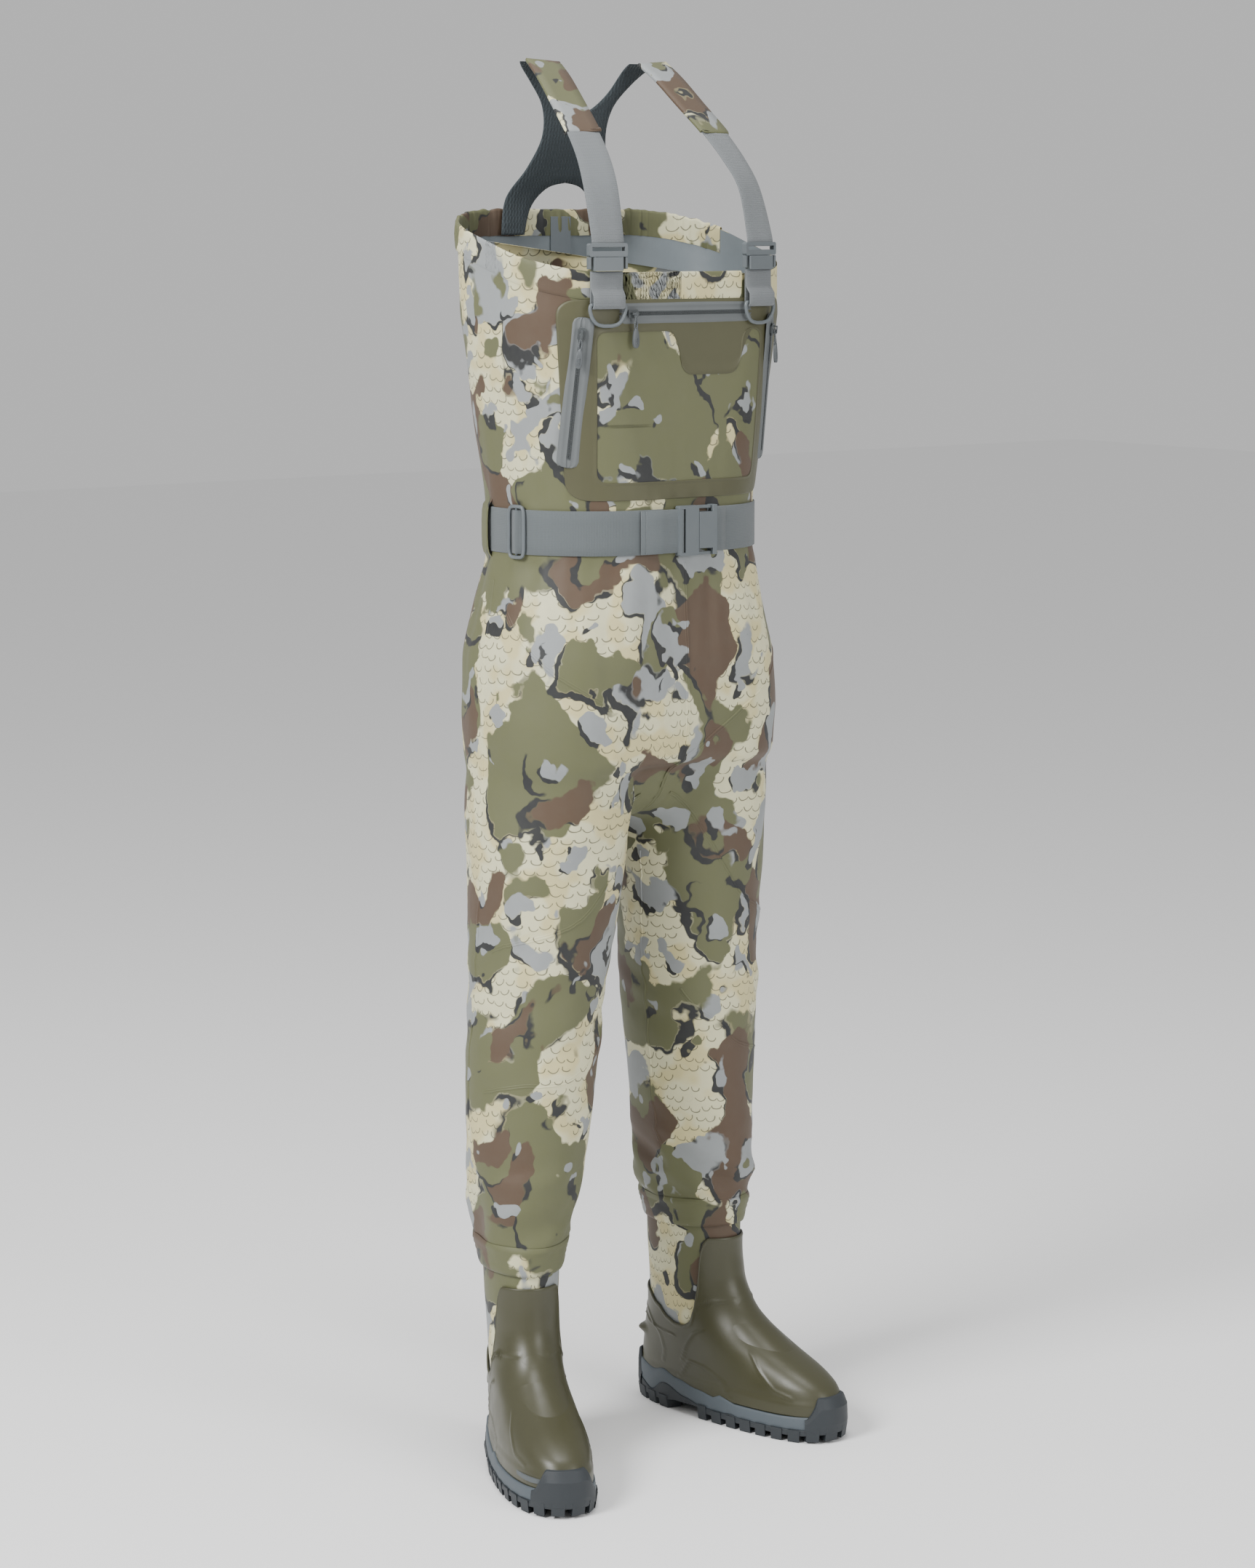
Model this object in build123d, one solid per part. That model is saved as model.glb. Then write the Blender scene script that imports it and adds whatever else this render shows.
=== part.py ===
from build123d import *
import os
from math import asin, cos, degrees, hypot, pi, radians, sin

# Boot-foot chest waders, in millimetres. +Z is up, -Y is the front, +X is the wearer's left.
# The boots stand on Z = 0 with the toes turned out and the right foot a little ahead.

# ---- driving dimensions ----
wall = 2.0                  # fabric laminate, modelled thicker than the cloth
rim_front = 1358.0          # height of the chest opening at the front
rim_back = 1426.0           # and at the back, where the yoke lifts it
crotch = 805.0
knee_seam = 560.0
cuff_top = 252.0
hem = 232.0                 # where the legs end on the boots
belt_mid = 1072.0
belt_width = 50.0
belt_thick = 1.8
strap_width = 40.0
hem_depth = 27.0
right_boot = (-151.0, -12.0, -25.0)     # middle of the boot shaft and the turn of the foot
left_boot = (138.0, 36.0, 12.0)

# Torso sections: height, half width, half depth, corner radius.
chest = (183.0, 115.0, 88.0)
waist = (160.0, 118.0, 115.0)
chest_low, waist_high, waist_low = 1310.0, 1106.0, 1038.0
torso_rings = [
    (1450.0, *chest),
    (chest_low, *chest),
    (waist_high, *waist),
    (waist_low, *waist),
    (990.0, 171.0, 122.0, 112.0),
    (930.0, 185.0, 126.0, 114.0),
    (860.0, 189.0, 124.0, 112.0),
    (crotch, 187.0, 116.0, 104.0),
]
# Leg sections: height, half width, half depth, share of the way from hip to boot.
hip_x, hip_y = 92.0, 3.0
leg_rings = [
    (872.0, 86.0, 108.0, 0.0),
    (800.0, 91.0, 105.0, 0.08),
    (740.0, 91.0, 101.0, 0.17),
    (650.0, 85.0, 93.0, 0.34),
    (560.0, 80.0, 87.0, 0.50),
    (480.0, 76.0, 82.0, 0.64),
    (400.0, 71.0, 78.0, 0.78),
    (310.0, 63.0, 75.0, 0.94),
    (258.0, 52.0, 71.0, 1.0),
    (hem, 46.2, 66.2, 1.0),
]
# Boot sections: height, back and front from the heel, half width, forefoot spread.
shaft_mid = 75.0            # middle of the shaft, from the back of the heel
boot_rings = [
    (30.0, 2.0, 302.0, 46.0, 0.17),
    (52.0, 1.0, 300.0, 46.5, 0.16),
    (70.0, 3.0, 282.0, 45.0, 0.14),
    (86.0, 6.0, 244.0, 43.0, 0.10),
    (104.0, 9.0, 203.0, 42.0, 0.05),
    (128.0, 11.0, 168.0, 42.0, 0.0),
    (160.0, 11.0, 148.0, 42.5, 0.0),
    (195.0, 9.0, 142.0, 44.5, 0.0),
    (250.0, 8.0, 142.0, 47.0, 0.0),
]
rubber = 3.0
neoprene = 3.0
gap = 0.4
shell_top = 216.0
upper_top = 250.0

# Pocket frame and camouflage window on the chest.
frame_low = belt_mid + 36
frame_high = rim_front - hem_depth - 3
frame_half, frame_wide = 133.0, 158.0   # half width at its lower and upper edge
window_half = 113.0
window_low = frame_low + 20
window_high = 1294.0
patch_left, patch_right, patch_h = -7.0, 85.0, 48.0

# Zips.
tape_half, tape_thick = 10.0, 1.0
tooth_high = 2.2
slider_len, slider_half = 14.0, 4.6
plate_low, plate_high = 2.5, 4.1
bridge_len, bridge_gap, bridge_bar = 9.0, 3.4, 1.0
cord_r = 0.8
cord_len, tab_len, tab_half = 20.0, 22.0, 4.0
chest_zip_z, chest_zip_left, chest_zip_right = 1314.0, 92.0, -82.0
side_zip_top = (1304.0, 25.0)       # height and angle round the corner
side_zip_end = (1152.0, 46.0)

# Buckles.
anchor_x = 106.0
buckle_low, buckle_high = rim_front + 3, rim_front + 33
bar_z = rim_front - 34
bar_y = -6.2
ring_r = 2.0

# Harness.
yoke_shift = -6.0
hinge_y, hinge_z = 110.0, 1430.0
harness_travel = 105.0
junction = (92.0, -52.0, 1516.4)


def solid(shape):
    """One clean solid, or a compound when there are several."""
    found = shape.solids()
    return found[0] if len(found) == 1 else Compound(children=list(found))


def block(x0, x1, y0, y1, z0, z1):
    """A box between two corners, given in any order."""
    middle = ((x0 + x1) / 2, (y0 + y1) / 2, (z0 + z1) / 2)
    return Pos(*middle) * Box(abs(x1 - x0), abs(y1 - y0), abs(z1 - z0))


def prism(points, reach, plane=Plane.XZ):
    """A polygon drawn on a plane through the origin, run both ways by reach."""
    return extrude(plane * Polygon(*points, align=None), reach, both=True)


# ---- torso and legs ----
def torso_loft(grow, drop=0.0):
    """The torso's closed form grown outwards, its bottom lowered by drop."""
    faces = []
    for z, half_w, half_d, radius in torso_rings:
        z = z - drop if z == crotch else z
        ring = RectangleRounded(2 * (half_w + grow), 2 * (half_d + grow), radius + grow)
        faces.append((Pos(0, 0, z) * ring).face())
    return loft(faces, ruled=True)


def leg_axis(side, share):
    """Centre of a leg section and how far it is turned."""
    end = right_boot if side < 0 else left_boot
    x = side * hip_x + (end[0] - side * hip_x) * share
    y = hip_y + (end[1] - hip_y) * share
    return x, y, end[2] * share


def leg_loft(side, grow, reach=0.0):
    """One leg's closed form, its bottom lowered by reach."""
    faces = []
    for z, half_w, half_d, share in leg_rings:
        x, y, turn = leg_axis(side, share)
        z = z - reach if z == hem else z
        faces.append(turned_ellipse(x, y, z, half_w + grow, half_d + grow, radians(turn)))
    return loft(faces)


def turned_ellipse(x, y, z, half_w, half_d, turn):
    """An ellipse turned in place, its first point kept towards +X so that lofts don't twist."""
    points = []
    for k in range(12):
        a = 2 * pi * k / 12 - turn
        across, along = half_w * cos(a), half_d * sin(a)
        points.append((across * cos(turn) - along * sin(turn), across * sin(turn) + along * cos(turn)))
    return Pos(x, y, z) * make_face(Spline(*points, periodic=True)).face()


def body_form(grow, drop=0.0, reach=0.0):
    return torso_loft(grow, drop) + leg_loft(-1, grow, reach) + leg_loft(1, grow, reach)


def above_rim(lift):
    """Everything above the sloping chest opening, raised by lift."""
    slope = degrees(asin((rim_back - rim_front) / (2 * chest[1])))
    middle = (rim_front + rim_back) / 2 + lift
    return Pos(0, 0, middle) * Rot(slope, 0, 0) * Pos(0, 0, 150) * Box(700, 600, 300)


def corner_point(z, angle, side):
    """A point on the front corner of the torso and its outward direction."""
    share = min(max((chest_low - z) / (chest_low - waist_high), 0.0), 1.0)
    half_w, half_d, radius = [a + (b - a) * share for a, b in zip(chest, waist)]
    s, c = sin(radians(angle)), cos(radians(angle))
    point = Vector(side * (half_w - radius + radius * s), -(half_d - radius + radius * c), z)
    return point, Vector(side * s, -c, 0)


def body_parts():
    shell = body_form(0) - body_form(-wall, -wall, 1.0) - above_rim(0)
    upper = shell & block(-400, 400, -300, 300, crotch, 1500)
    parts = {
        "torso_front": upper & block(-400, 400, -300, 0, 700, 1500),
        "torso_back": upper & block(-400, 400, 0, 300, 700, 1500),
    }
    for name, x0, x1 in (("right", -400, 0), ("left", 0, 400)):
        leg = shell & block(x0, x1, -300, 300, 200, crotch)
        parts[name + "_thigh"] = leg & block(-400, 400, -300, 300, knee_seam, crotch)
        parts[name + "_shin"] = leg & block(-400, 400, -300, 300, cuff_top, knee_seam)
        parts[name + "_cuff"] = leg & block(-400, 400, -300, 300, hem, cuff_top)
    band = torso_loft(1.1) - torso_loft(0.1)
    hem_band = (band & above_rim(-hem_depth)) - above_rim(0)
    parts["rim_hem"] = hem_band & block(-400, 400, -300, 60, 1250, 1500)
    parts["rim_elastic"] = hem_band & block(-400, 400, 60, 300, 1250, 1500)
    lining = torso_loft(-wall - 0.1) - torso_loft(-wall - 0.9)
    lining = (lining & above_rim(-170)) - above_rim(-8)
    parts["back_seam_tape"] = lining & block(-14, 14, 60, 300, 1200, 1500)
    overlay = torso_loft(1.1) - torso_loft(0.1)
    overlay &= block(-400, 400, -300, -20, 1080, 1400)
    frame = Polygon(
        (-frame_half, frame_low), (frame_half, frame_low),
        (frame_wide, frame_high), (-frame_wide, frame_high), align=None,
    )
    frame = fillet(frame.vertices(), 16)
    window = Polygon(
        (-window_half, window_low), (window_half, window_low), (window_half, window_high),
        (patch_right, window_high), (patch_right, window_high - patch_h), (patch_left, window_high - patch_h),
        (patch_left, window_high), (-window_half, window_high), align=None,
    )
    window = fillet(window.vertices(), 6)
    parts["pocket_panel"] = overlay & extrude(Plane.XZ * window, 300, both=True)
    parts["pocket_frame"] = overlay & extrude(Plane.XZ * (frame - window), 300, both=True)
    return parts


# ---- zips, drawn standing along Z and facing +Y ----
def zip_body(length):
    tapes = [block(side * 0.3, side * tape_half, -6, tape_thick, 0, length) for side in (-1, 1)]
    teeth = [block(side * 0.15, side * 2.2, tape_thick, tooth_high, 3, length - 3) for side in (-1, 1)]
    return tapes, teeth


def zip_slider():
    """The slider with its bridge, centred on the origin along the zip."""
    half = slider_len / 2
    plate = block(-slider_half, slider_half, plate_low, plate_high, -half, half)
    plate = fillet(plate.edges().filter_by(Axis.Y), 2.5)
    rails = [block(side * 2.8, side * slider_half, 1.4, plate_low, -half + 3, half - 3) for side in (-1, 1)]
    top = plate_high + bridge_gap
    reach = bridge_len / 2
    staple = block(-1.3, 1.3, plate_high - 0.1, top + bridge_bar, -reach, reach)
    staple -= block(-2, 2, plate_high, top, -reach + 1.5, reach - 1.5)
    return solid(plate + rails + staple)


def zip_pull(inner, quarter, lift):
    """Cord loop and moulded tab hanging along -Z, its top at height lift."""
    outside = SlotOverall(cord_len, 2 * (inner + 2 * cord_r), rotation=90)
    inside = SlotOverall(cord_len - 4 * cord_r, 2 * inner, rotation=90)
    loop = extrude(Plane.XZ * (outside - inside), cord_r, both=True)
    loop = Pos(0, 0, lift - cord_len / 2) * Rot(0, 0, quarter) * loop
    top = lift - cord_len + 3.6
    wide = top - tab_len * 0.62
    low = top - tab_len
    tab = prism(
        [(-2.6, top), (2.6, top), (tab_half, wide), (2.2, low), (-2.2, low), (-tab_half, wide)], 1.7
    )
    return solid(loop + tab)


def zip_plane(top, end, outward):
    """Origin at the lower end, Z towards the upper end, Y facing outwards."""
    along = (top - end).normalized()
    out = (outward - along * outward.dot(along)).normalized()
    return Plane(origin=end, x_dir=out.cross(along), z_dir=along)


def side_zip(side):
    top, out_top = corner_point(*side_zip_top, side)
    end, out_end = corner_point(*side_zip_end, side)
    outward = (out_top + out_end).normalized()
    return zip_plane(top + outward * 2.6, end + outward * 2.6, outward), (top - end).length


def zip_set():
    parts, marks = {}, {}
    cut = torso_loft(1.15)
    chest_plane = zip_plane(
        Vector(chest_zip_right, -chest[1] - 1.15, chest_zip_z),
        Vector(chest_zip_left, -chest[1] - 1.15, chest_zip_z), Vector(0, -1, 0),
    )
    places = {
        "chest_zip": (chest_plane, chest_zip_left - chest_zip_right),
        "right_zip": side_zip(-1),
        "left_zip": side_zip(1),
    }
    for name, (plane, length) in places.items():
        tapes, teeth = zip_body(length)
        parts[name + "_tape"] = plane.location * solid(Compound(children=tapes)) - cut
        parts[name + "_teeth"] = plane.location * solid(Compound(children=teeth))
        parked = length - slider_len / 2 - 4
        parts[name + "_slider"] = plane.location * Pos(0, 0, parked) * zip_slider()
        across = name == "chest_zip"
        pivot_y = plate_high + bridge_gap + bridge_bar / 2 if across else plate_high + bridge_gap / 2
        pivot = plane.from_local_coords(Vector(0, pivot_y, parked))
        pull = zip_pull(1.5, 90, 3.5) if across else zip_pull(2.3, 0, cord_r)
        hinge = Vector(1, 0, 0) if across else plane.x_dir
        down = Vector(0, 0, 1) - hinge * hinge.Z
        parts[name + "_pull"] = Plane(origin=pivot, x_dir=hinge, z_dir=down).location * pull
        marks[name] = (plane, pivot, parked)
    return parts, marks


# ---- boots, drawn with the shaft's middle at the origin and the toe towards -Y ----
def foot_face(z, back, front, half, spread, grow):
    """A closed outline at height z, grown outwards."""
    points = []
    count = 44
    blunt = 0.86 if front > 190 else 1.0
    middle = (back + front) / 2
    for k in range(count):
        c, s = cos(2 * pi * k / count), sin(2 * pi * k / count)
        c = abs(c) ** blunt * (1 if c > 0 else -1)
        s = abs(s) ** blunt * (1 if s > 0 else -1)
        along = middle + ((front - back) / 2 + grow) * c
        bend = 9.0 * ((along - shaft_mid) / 225.0) ** 2 if along > shaft_mid and front > 190 else 0.0
        points.append(((half * (1 + spread * c) + grow) * s + bend, shaft_mid - along))
    return Pos(0, 0, z) * Polygon(*points, align=None)


def ring_at(z):
    """The boot's section at any height."""
    for low, high in zip(boot_rings, boot_rings[1:]):
        if z <= high[0]:
            share = (z - low[0]) / (high[0] - low[0])
            return tuple(a + (b - a) * share for a, b in zip(low, high))
    return (z, *boot_rings[-1][1:])


def boot_loft(grow, low, high):
    """The boot's closed form between two heights."""
    kept = [ring for ring in boot_rings if low + 2 < ring[0] < high - 2]
    rings = [ring_at(low), *kept, ring_at(high)]
    return loft([foot_face(*ring, grow).face() for ring in rings], ruled=True)


def along_block(a0, a1, z0, z1, half=90.0):
    """A box between two distances from the back of the heel."""
    return block(-half, half, shaft_mid - a1, shaft_mid - a0, z0, z1)


def sole_prism(grow, z0, z1):
    return extrude(foot_face(z0, *boot_rings[0][1:], grow), z1 - z0)


def boot_parts(mirror_it):
    form = boot_loft(0, 30, shell_top)
    shell = form - boot_loft(-rubber, 30 + rubber, shell_top + 20)
    window = [(-20, 240), (-20, 150), (40, 133), (80, 112), (104, 110), (112, 150), (118, 240)]
    shell -= prism([(shaft_mid - a, z) for a, z in window], 90, Plane.YZ)
    kick = extrude(foot_face(84, 4, 246, 42, 0, 9), 9) & along_block(-20, 22, 80, 110)
    shell += kick - form
    inside = rubber + gap
    upper = boot_loft(-inside, 30 + inside, upper_top)
    upper -= boot_loft(-inside - neoprene, 30 + inside + neoprene, upper_top + 20)
    floor = 30 + inside + neoprene + gap
    insole = extrude(foot_face(floor, *boot_rings[0][1:], -10), 5)
    midsole = sole_prism(3, 12, 30)
    cup = sole_prism(4, 29.9, 46) - sole_prism(1.8, 20, 60)
    midsole += cup & along_block(-20, 96, 29.9, 46)
    outsole = sole_prism(4, 7.5, 12)
    tread = sole_prism(4, 0, 7.6)
    for n in range(12):
        tread -= along_block(17 + n * 24.5, 24 + n * 24.5, -1, 7.5)
    tread -= along_block(112, 144, -1, 7.5)
    for x in (-16, 16):
        tread -= block(x - 3, x + 3, -400, 200, -1, 7.5)
    guard = sole_prism(7, 11.9, 58) - sole_prism(3.3, 10, 70)
    guard &= along_block(262, 340, 11.9, 58)
    outsole = outsole + tread + guard
    parts = {"boot_shell": shell, "boot_upper": upper, "insole": insole, "midsole": midsole, "outsole": outsole}
    if mirror_it:
        parts = {name: mirror(shape, about=Plane.YZ) for name, shape in parts.items()}
    return parts


# ---- rim buckles, drawn at the middle of the front and facing -Y ----
anchor_turn = degrees(asin((anchor_x - (chest[0] - chest[2])) / chest[2]))
anchor_y = -(chest[1] - chest[2]) - chest[2] * cos(radians(anchor_turn))


def at_anchor(side, shape):
    return Pos(side * anchor_x, anchor_y, 0) * Rot(0, 0, side * anchor_turn) * shape


def anchor_parts():
    """Sewn webbing, D-ring, buckle socket, tongue and its two arms."""
    half = strap_width / 2
    socket_top = buckle_low + 15
    web = block(-half, half, -3.0, -1.6, bar_z, buckle_low - 0.3)
    web += block(-half, half, -10.8, -9.4, bar_z, bar_z + 20)
    web += block(-half, half, -9.5, -2.9, bar_z + 13, bar_z + 18)
    turn = Pos(0, bar_y, bar_z) * Rot(0, 90, 0) * (Cylinder(4.6, 2 * half) - Cylinder(3.2, 2 * half + 2))
    web += turn & block(-half, half, -12, 0, bar_z - 8, bar_z)
    outside = [(-24.6, 2), (24.6, 2), (24.6, -9), (16, -25), (-16, -25), (-24.6, -9)]
    inside = [(-20.6, -2), (20.6, -2), (20.4, -8.0), (13.4, -20.6), (-13.4, -20.6), (-20.4, -8.0)]
    bar = prism(outside, ring_r) - prism(inside, ring_r + 1)
    socket = block(-18.5, 18.5, -9.4, -0.6, buckle_low, socket_top)
    socket -= block(-15, 15, -7.9, -2.1, buckle_low + 2.5, socket_top + 1)
    tongue = block(-24, 24, -8.4, -1.6, socket_top + 0.5, buckle_high)
    tongue = fillet(tongue.edges().filter_by(Axis.Y), 2.5)
    tongue -= block(-20.6, 20.6, -12, 2, buckle_high - 8.5, buckle_high - 4)
    tongue += block(-13, 13, -6.3, -3.7, buckle_low + 5, socket_top + 1)
    arms = {}
    for name, side in (("right", -1), ("left", 1)):
        arms[name] = block(side * 21.4, side * 24.6, -7.6, -2.4, buckle_low + 2, socket_top + 0.1)
    return {"web": web, "ring": Pos(0, bar_y, bar_z) * bar, "socket": socket, "tongue": tongue}, arms


# ---- harness ----
def ribbon(stations, width, thick):
    """A flat strap through stations of point, across and outward directions."""
    faces = []
    for point, across, outward in stations:
        across = Vector(*across).normalized()
        outward = Vector(*outward)
        outward = (outward - across * outward.dot(across)).normalized()
        plane = Plane(origin=Vector(*point), x_dir=across, z_dir=across.cross(outward))
        faces.append((plane * Rectangle(width, thick)).face())
    return loft(faces, ruled=True)


def swap(stations, side):
    return [((side * p[0], *p[1:]), (a[0], side * a[1], a[2]), (side * o[0], *o[1:])) for p, a, o in stations]


def elastic(side):
    s, c = sin(radians(anchor_turn)), cos(radians(anchor_turn))
    base = (anchor_x + 5.0 * s, anchor_y - 5.0 * c)
    stations = [
        ((*base, buckle_high + 0.1), (c, s, 0), (s, -c, 0)),
        ((*base, buckle_high + 8), (c, s, 0), (s, -c, 0)),
        ((104, -104, 1450.6), (0.96, 0.26, 0.0), (0.2, -1, 0.3)),
        ((98, -82, 1484.4), (0.97, 0.2, 0.0), (0.2, -1, 0.6)),
        (junction, (0.98, 0.14, 0.0), (0.15, -0.8, 0.9)),
    ]
    return ribbon(swap(stations, side), strap_width, 1.6)


def shoulder(side):
    x, y, z = junction
    stations = [
        ((x, y + 0.5, z + 0.5), (0.98, 0.14, 0.0), (0.15, -0.8, 0.9)),
        ((86, -18, 1545.7), (0.98, 0.10, 0.0), (0.1, -0.6, 0.9)),
        ((81, 14, 1573.1), (0.99, 0.06, 0.0), (0.1, -0.5, 1.0)),
        ((77, 41, 1591.8), (1, 0.0, 0.0), (0.05, -0.3, 1.0)),
    ]
    return ribbon(swap(stations, side), 44, 3.0)


yoke_line = [
    (107.5, 1402.0), (107.5, 1436.0), (98.0, 1468.9), (86.0, 1505.5), (77.0, 1545.7), (68.0, 1574.9),
    (57.0, 1591.4), (42.0, 1596.0),
]
yoke_thick = 3.2


def yoke():
    """A padded sheet bent over the back and cut to an H with spread arms."""
    outer = []
    for n, (y, z) in enumerate(yoke_line):
        y0, z0 = yoke_line[max(n - 1, 0)]
        y1, z1 = yoke_line[min(n + 1, len(yoke_line) - 1)]
        size = hypot(y1 - y0, z1 - z0)
        outer.append((y - yoke_thick * (z1 - z0) / size, z + yoke_thick * (y1 - y0) / size))
    bent = prism([*yoke_line, *outer[::-1]], 130, Plane.YZ)
    side = [(92, 1398), (86, 1440), (60, 1479.9), (47, 1509.1), (54, 1542.0), (80, 1567.6), (99, 1608.7)]
    fork = [(54, 1608.7), (38, 1571.3), (20, 1554.8), (0, 1549.3)]
    arch = [(0, 1467.1), (24, 1461.6), (46, 1440), (58, 1398)]
    half = [*side, *fork, *arch]
    other = [(-x, z) for x, z in half[::-1] if x > 0]
    outline = [*side, *fork, *[(-x, z) for x, z in [*side, *fork[:-1]][::-1]]]
    cut = prism(outline, 300)
    opening = [*arch, *[(-x, z) for x, z in arch[1:][::-1]]]
    shape = bent & (cut - prism(opening, 300))
    return Pos(yoke_shift, 0, 0) * shape


# ---- belt ----
def belt_band(low, high, z0, z1):
    return (torso_loft(high) - torso_loft(low)) & block(-400, 400, -300, 300, z0, z1)


socket_x0, socket_x1 = 15.0, 42.0
belt_out = 0.4
belt_face = -waist[1] - belt_out


def belt_parts():
    half = belt_width / 2
    z0, z1 = belt_mid - half, belt_mid + half
    front_gap = block(-32, socket_x1 - 2, -300, 0, z0 - 5, z1 + 5)
    strap = belt_band(belt_out, belt_out + belt_thick, z0, z1) - front_gap
    wrap = block(socket_x1 - 2, 58, belt_face - 6.0, belt_face - 4.4, z0, z1)
    wrap += block(50, 57, belt_face - 4.5, belt_face - belt_thick + 0.1, z0, z1)
    strap += wrap
    depth = belt_face - 11.0            # front of the buckle
    socket = block(socket_x0, socket_x1 - 2.2, depth, belt_face, z0 - 3, z1 + 3)
    socket -= block(socket_x0 - 1, socket_x1 - 6, depth + 2.2, belt_face - 2.2, z0 + 4, z1 - 4)
    for side in (-1, 1):
        edge = belt_mid + side * half
        socket -= block(socket_x0 - 1, socket_x1 - 8, depth - 1, 0, edge - side * 4.5, edge + side * 4)
    tongue = block(-13, socket_x0 - 0.5, depth + 0.6, belt_face - 2.2, z0 - 3, z1 + 3)
    tongue = fillet(tongue.edges().filter_by(Axis.Y), 2.5)
    tongue -= block(-9.5, -4.5, depth - 1, 0, z0 + 0.6, z1 - 0.6)
    tongue -= block(-14, -9, belt_face - 5.0, 0, z0 + 0.6, z1 - 0.6)
    tongue += block(socket_x0 - 1, socket_x1 - 9, depth + 3.6, belt_face - 3.6, z0 + 8, z1 - 8)
    tail = block(-62, -5.6, belt_face - 4.7, belt_face - 3.1, z0 + 1, z1 - 1)
    tail += block(-7.2, -5.6, depth - 1.4, belt_face - 3.1, z0 + 1, z1 - 1)
    tail += block(-34, -5.6, depth - 1.4, depth + 0.3, z0 + 1, z1 - 1)
    arms = {}
    for name, side in (("upper", 1), ("lower", -1)):
        edge = belt_mid + side * half
        arms[name] = block(
            socket_x0, socket_x1 - 8.5, depth + 3, belt_face - 3, edge - side * 0.8, edge + side * 2.6
        )
    glide = belt_band(belt_out + belt_thick + 0.5, belt_out + belt_thick + 3.1, z0 - 5, z1 + 5)
    rails = belt_band(belt_out, belt_out + belt_thick + 3.1, z1 + 0.6, z1 + 5)
    rails += belt_band(belt_out, belt_out + belt_thick + 3.1, z0 - 5, z0 - 0.6)
    glide = (glide + rails) & glide_wedge(glide_from, glide_to)
    for a, b in ((glide_from + 3.0, glide_from + 6.2), (glide_to - 6.2, glide_to - 3.0)):
        glide -= glide_wedge(a, b) & block(-400, 400, -300, 300, z0 - 0.6, z1 + 0.6)
    loops = []
    over = belt_out + belt_thick + 5.6
    for a, b in ((104.0, 116.0), (-116.0, -104.0)):
        outer = belt_band(0.1, over + 1.4, z0 - 26, z1 + 26) - belt_band(belt_out - 0.2, over, z0 - 7, z1 + 7)
        loops.append(outer & glide_wedge(a, b))
    return strap, socket, tongue, tail, arms, glide, solid(Compound(children=loops))


glide_from, glide_to = 73.0, 86.0       # degrees round the waist from straight ahead


def glide_wedge(a0, a1):
    """A slice between two angles about the centre of the waist's right or left curve."""
    side = 1 if a0 > 0 else -1
    x = -side * (waist[0] - waist[2])
    points = [(0, 0)]
    for n in range(5):
        a = radians(a0 + (a1 - a0) * n / 4)
        points.append((-400 * sin(a), -400 * cos(a)))
    wedge = extrude(Polygon(*points, align=None), 300, both=True)
    return Pos(x, -(waist[1] - waist[2]), belt_mid) * wedge


def build():
    parts, marks = body_parts(), {}
    zips, marks = zip_set()
    parts.update(zips)
    for side, name, place in ((-1, "right", right_boot), (1, "left", left_boot)):
        for node, shape in boot_parts(side < 0).items():
            parts[f"{name}_{node}"] = Pos(place[0], place[1], 0) * Rot(0, 0, place[2]) * shape
        pieces, arms = anchor_parts()
        parts[name + "_anchor_webbing"] = at_anchor(side, pieces["web"])
        parts[name + "_d_ring"] = at_anchor(side, pieces["ring"])
        parts[name + "_buckle_socket"] = at_anchor(side, pieces["socket"])
        parts[name + "_buckle_tongue"] = at_anchor(side, pieces["tongue"])
        for arm_name, arm in arms.items():
            parts[f"{name}_buckle_arm_{arm_name}"] = at_anchor(side, arm)
        parts[name + "_elastic_webbing"] = elastic(side)
        parts[name + "_shoulder_strap"] = shoulder(side)
    parts["yoke"] = yoke()
    strap, socket, tongue, tail, arms, glide, loops = belt_parts()
    parts.update(belt_strap=strap, belt_socket=socket, belt_tongue=tongue, belt_slider=glide, belt_loops=loops)
    parts.update(belt_tongue_webbing=tail, belt_arm_upper=arms["upper"], belt_arm_lower=arms["lower"])
    return parts, marks


if __name__ == "__main__":
    parts, marks = build()
    parts = {name: solid(shape) for name, shape in parts.items()}
    boxes = [shape.bounding_box() for shape in parts.values()]
    low = [min(getattr(box.min, axis) for box in boxes) for axis in "XYZ"]
    high = [max(getattr(box.max, axis) for box in boxes) for axis in "XYZ"]
    centre = Pos(-(low[0] + high[0]) / 2, -(low[1] + high[1]) / 2, -low[2])
    os.makedirs("parts", exist_ok=True)
    for name, shape in parts.items():
        export_step(centre * shape, f"parts/{name}.step")
    print(len(parts), "parts from", low, "to", high)
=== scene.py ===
import math

import bmesh
import bpy
from mathutils import Matrix, Vector, noise
from mathutils.bvhtree import BVHTree


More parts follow.
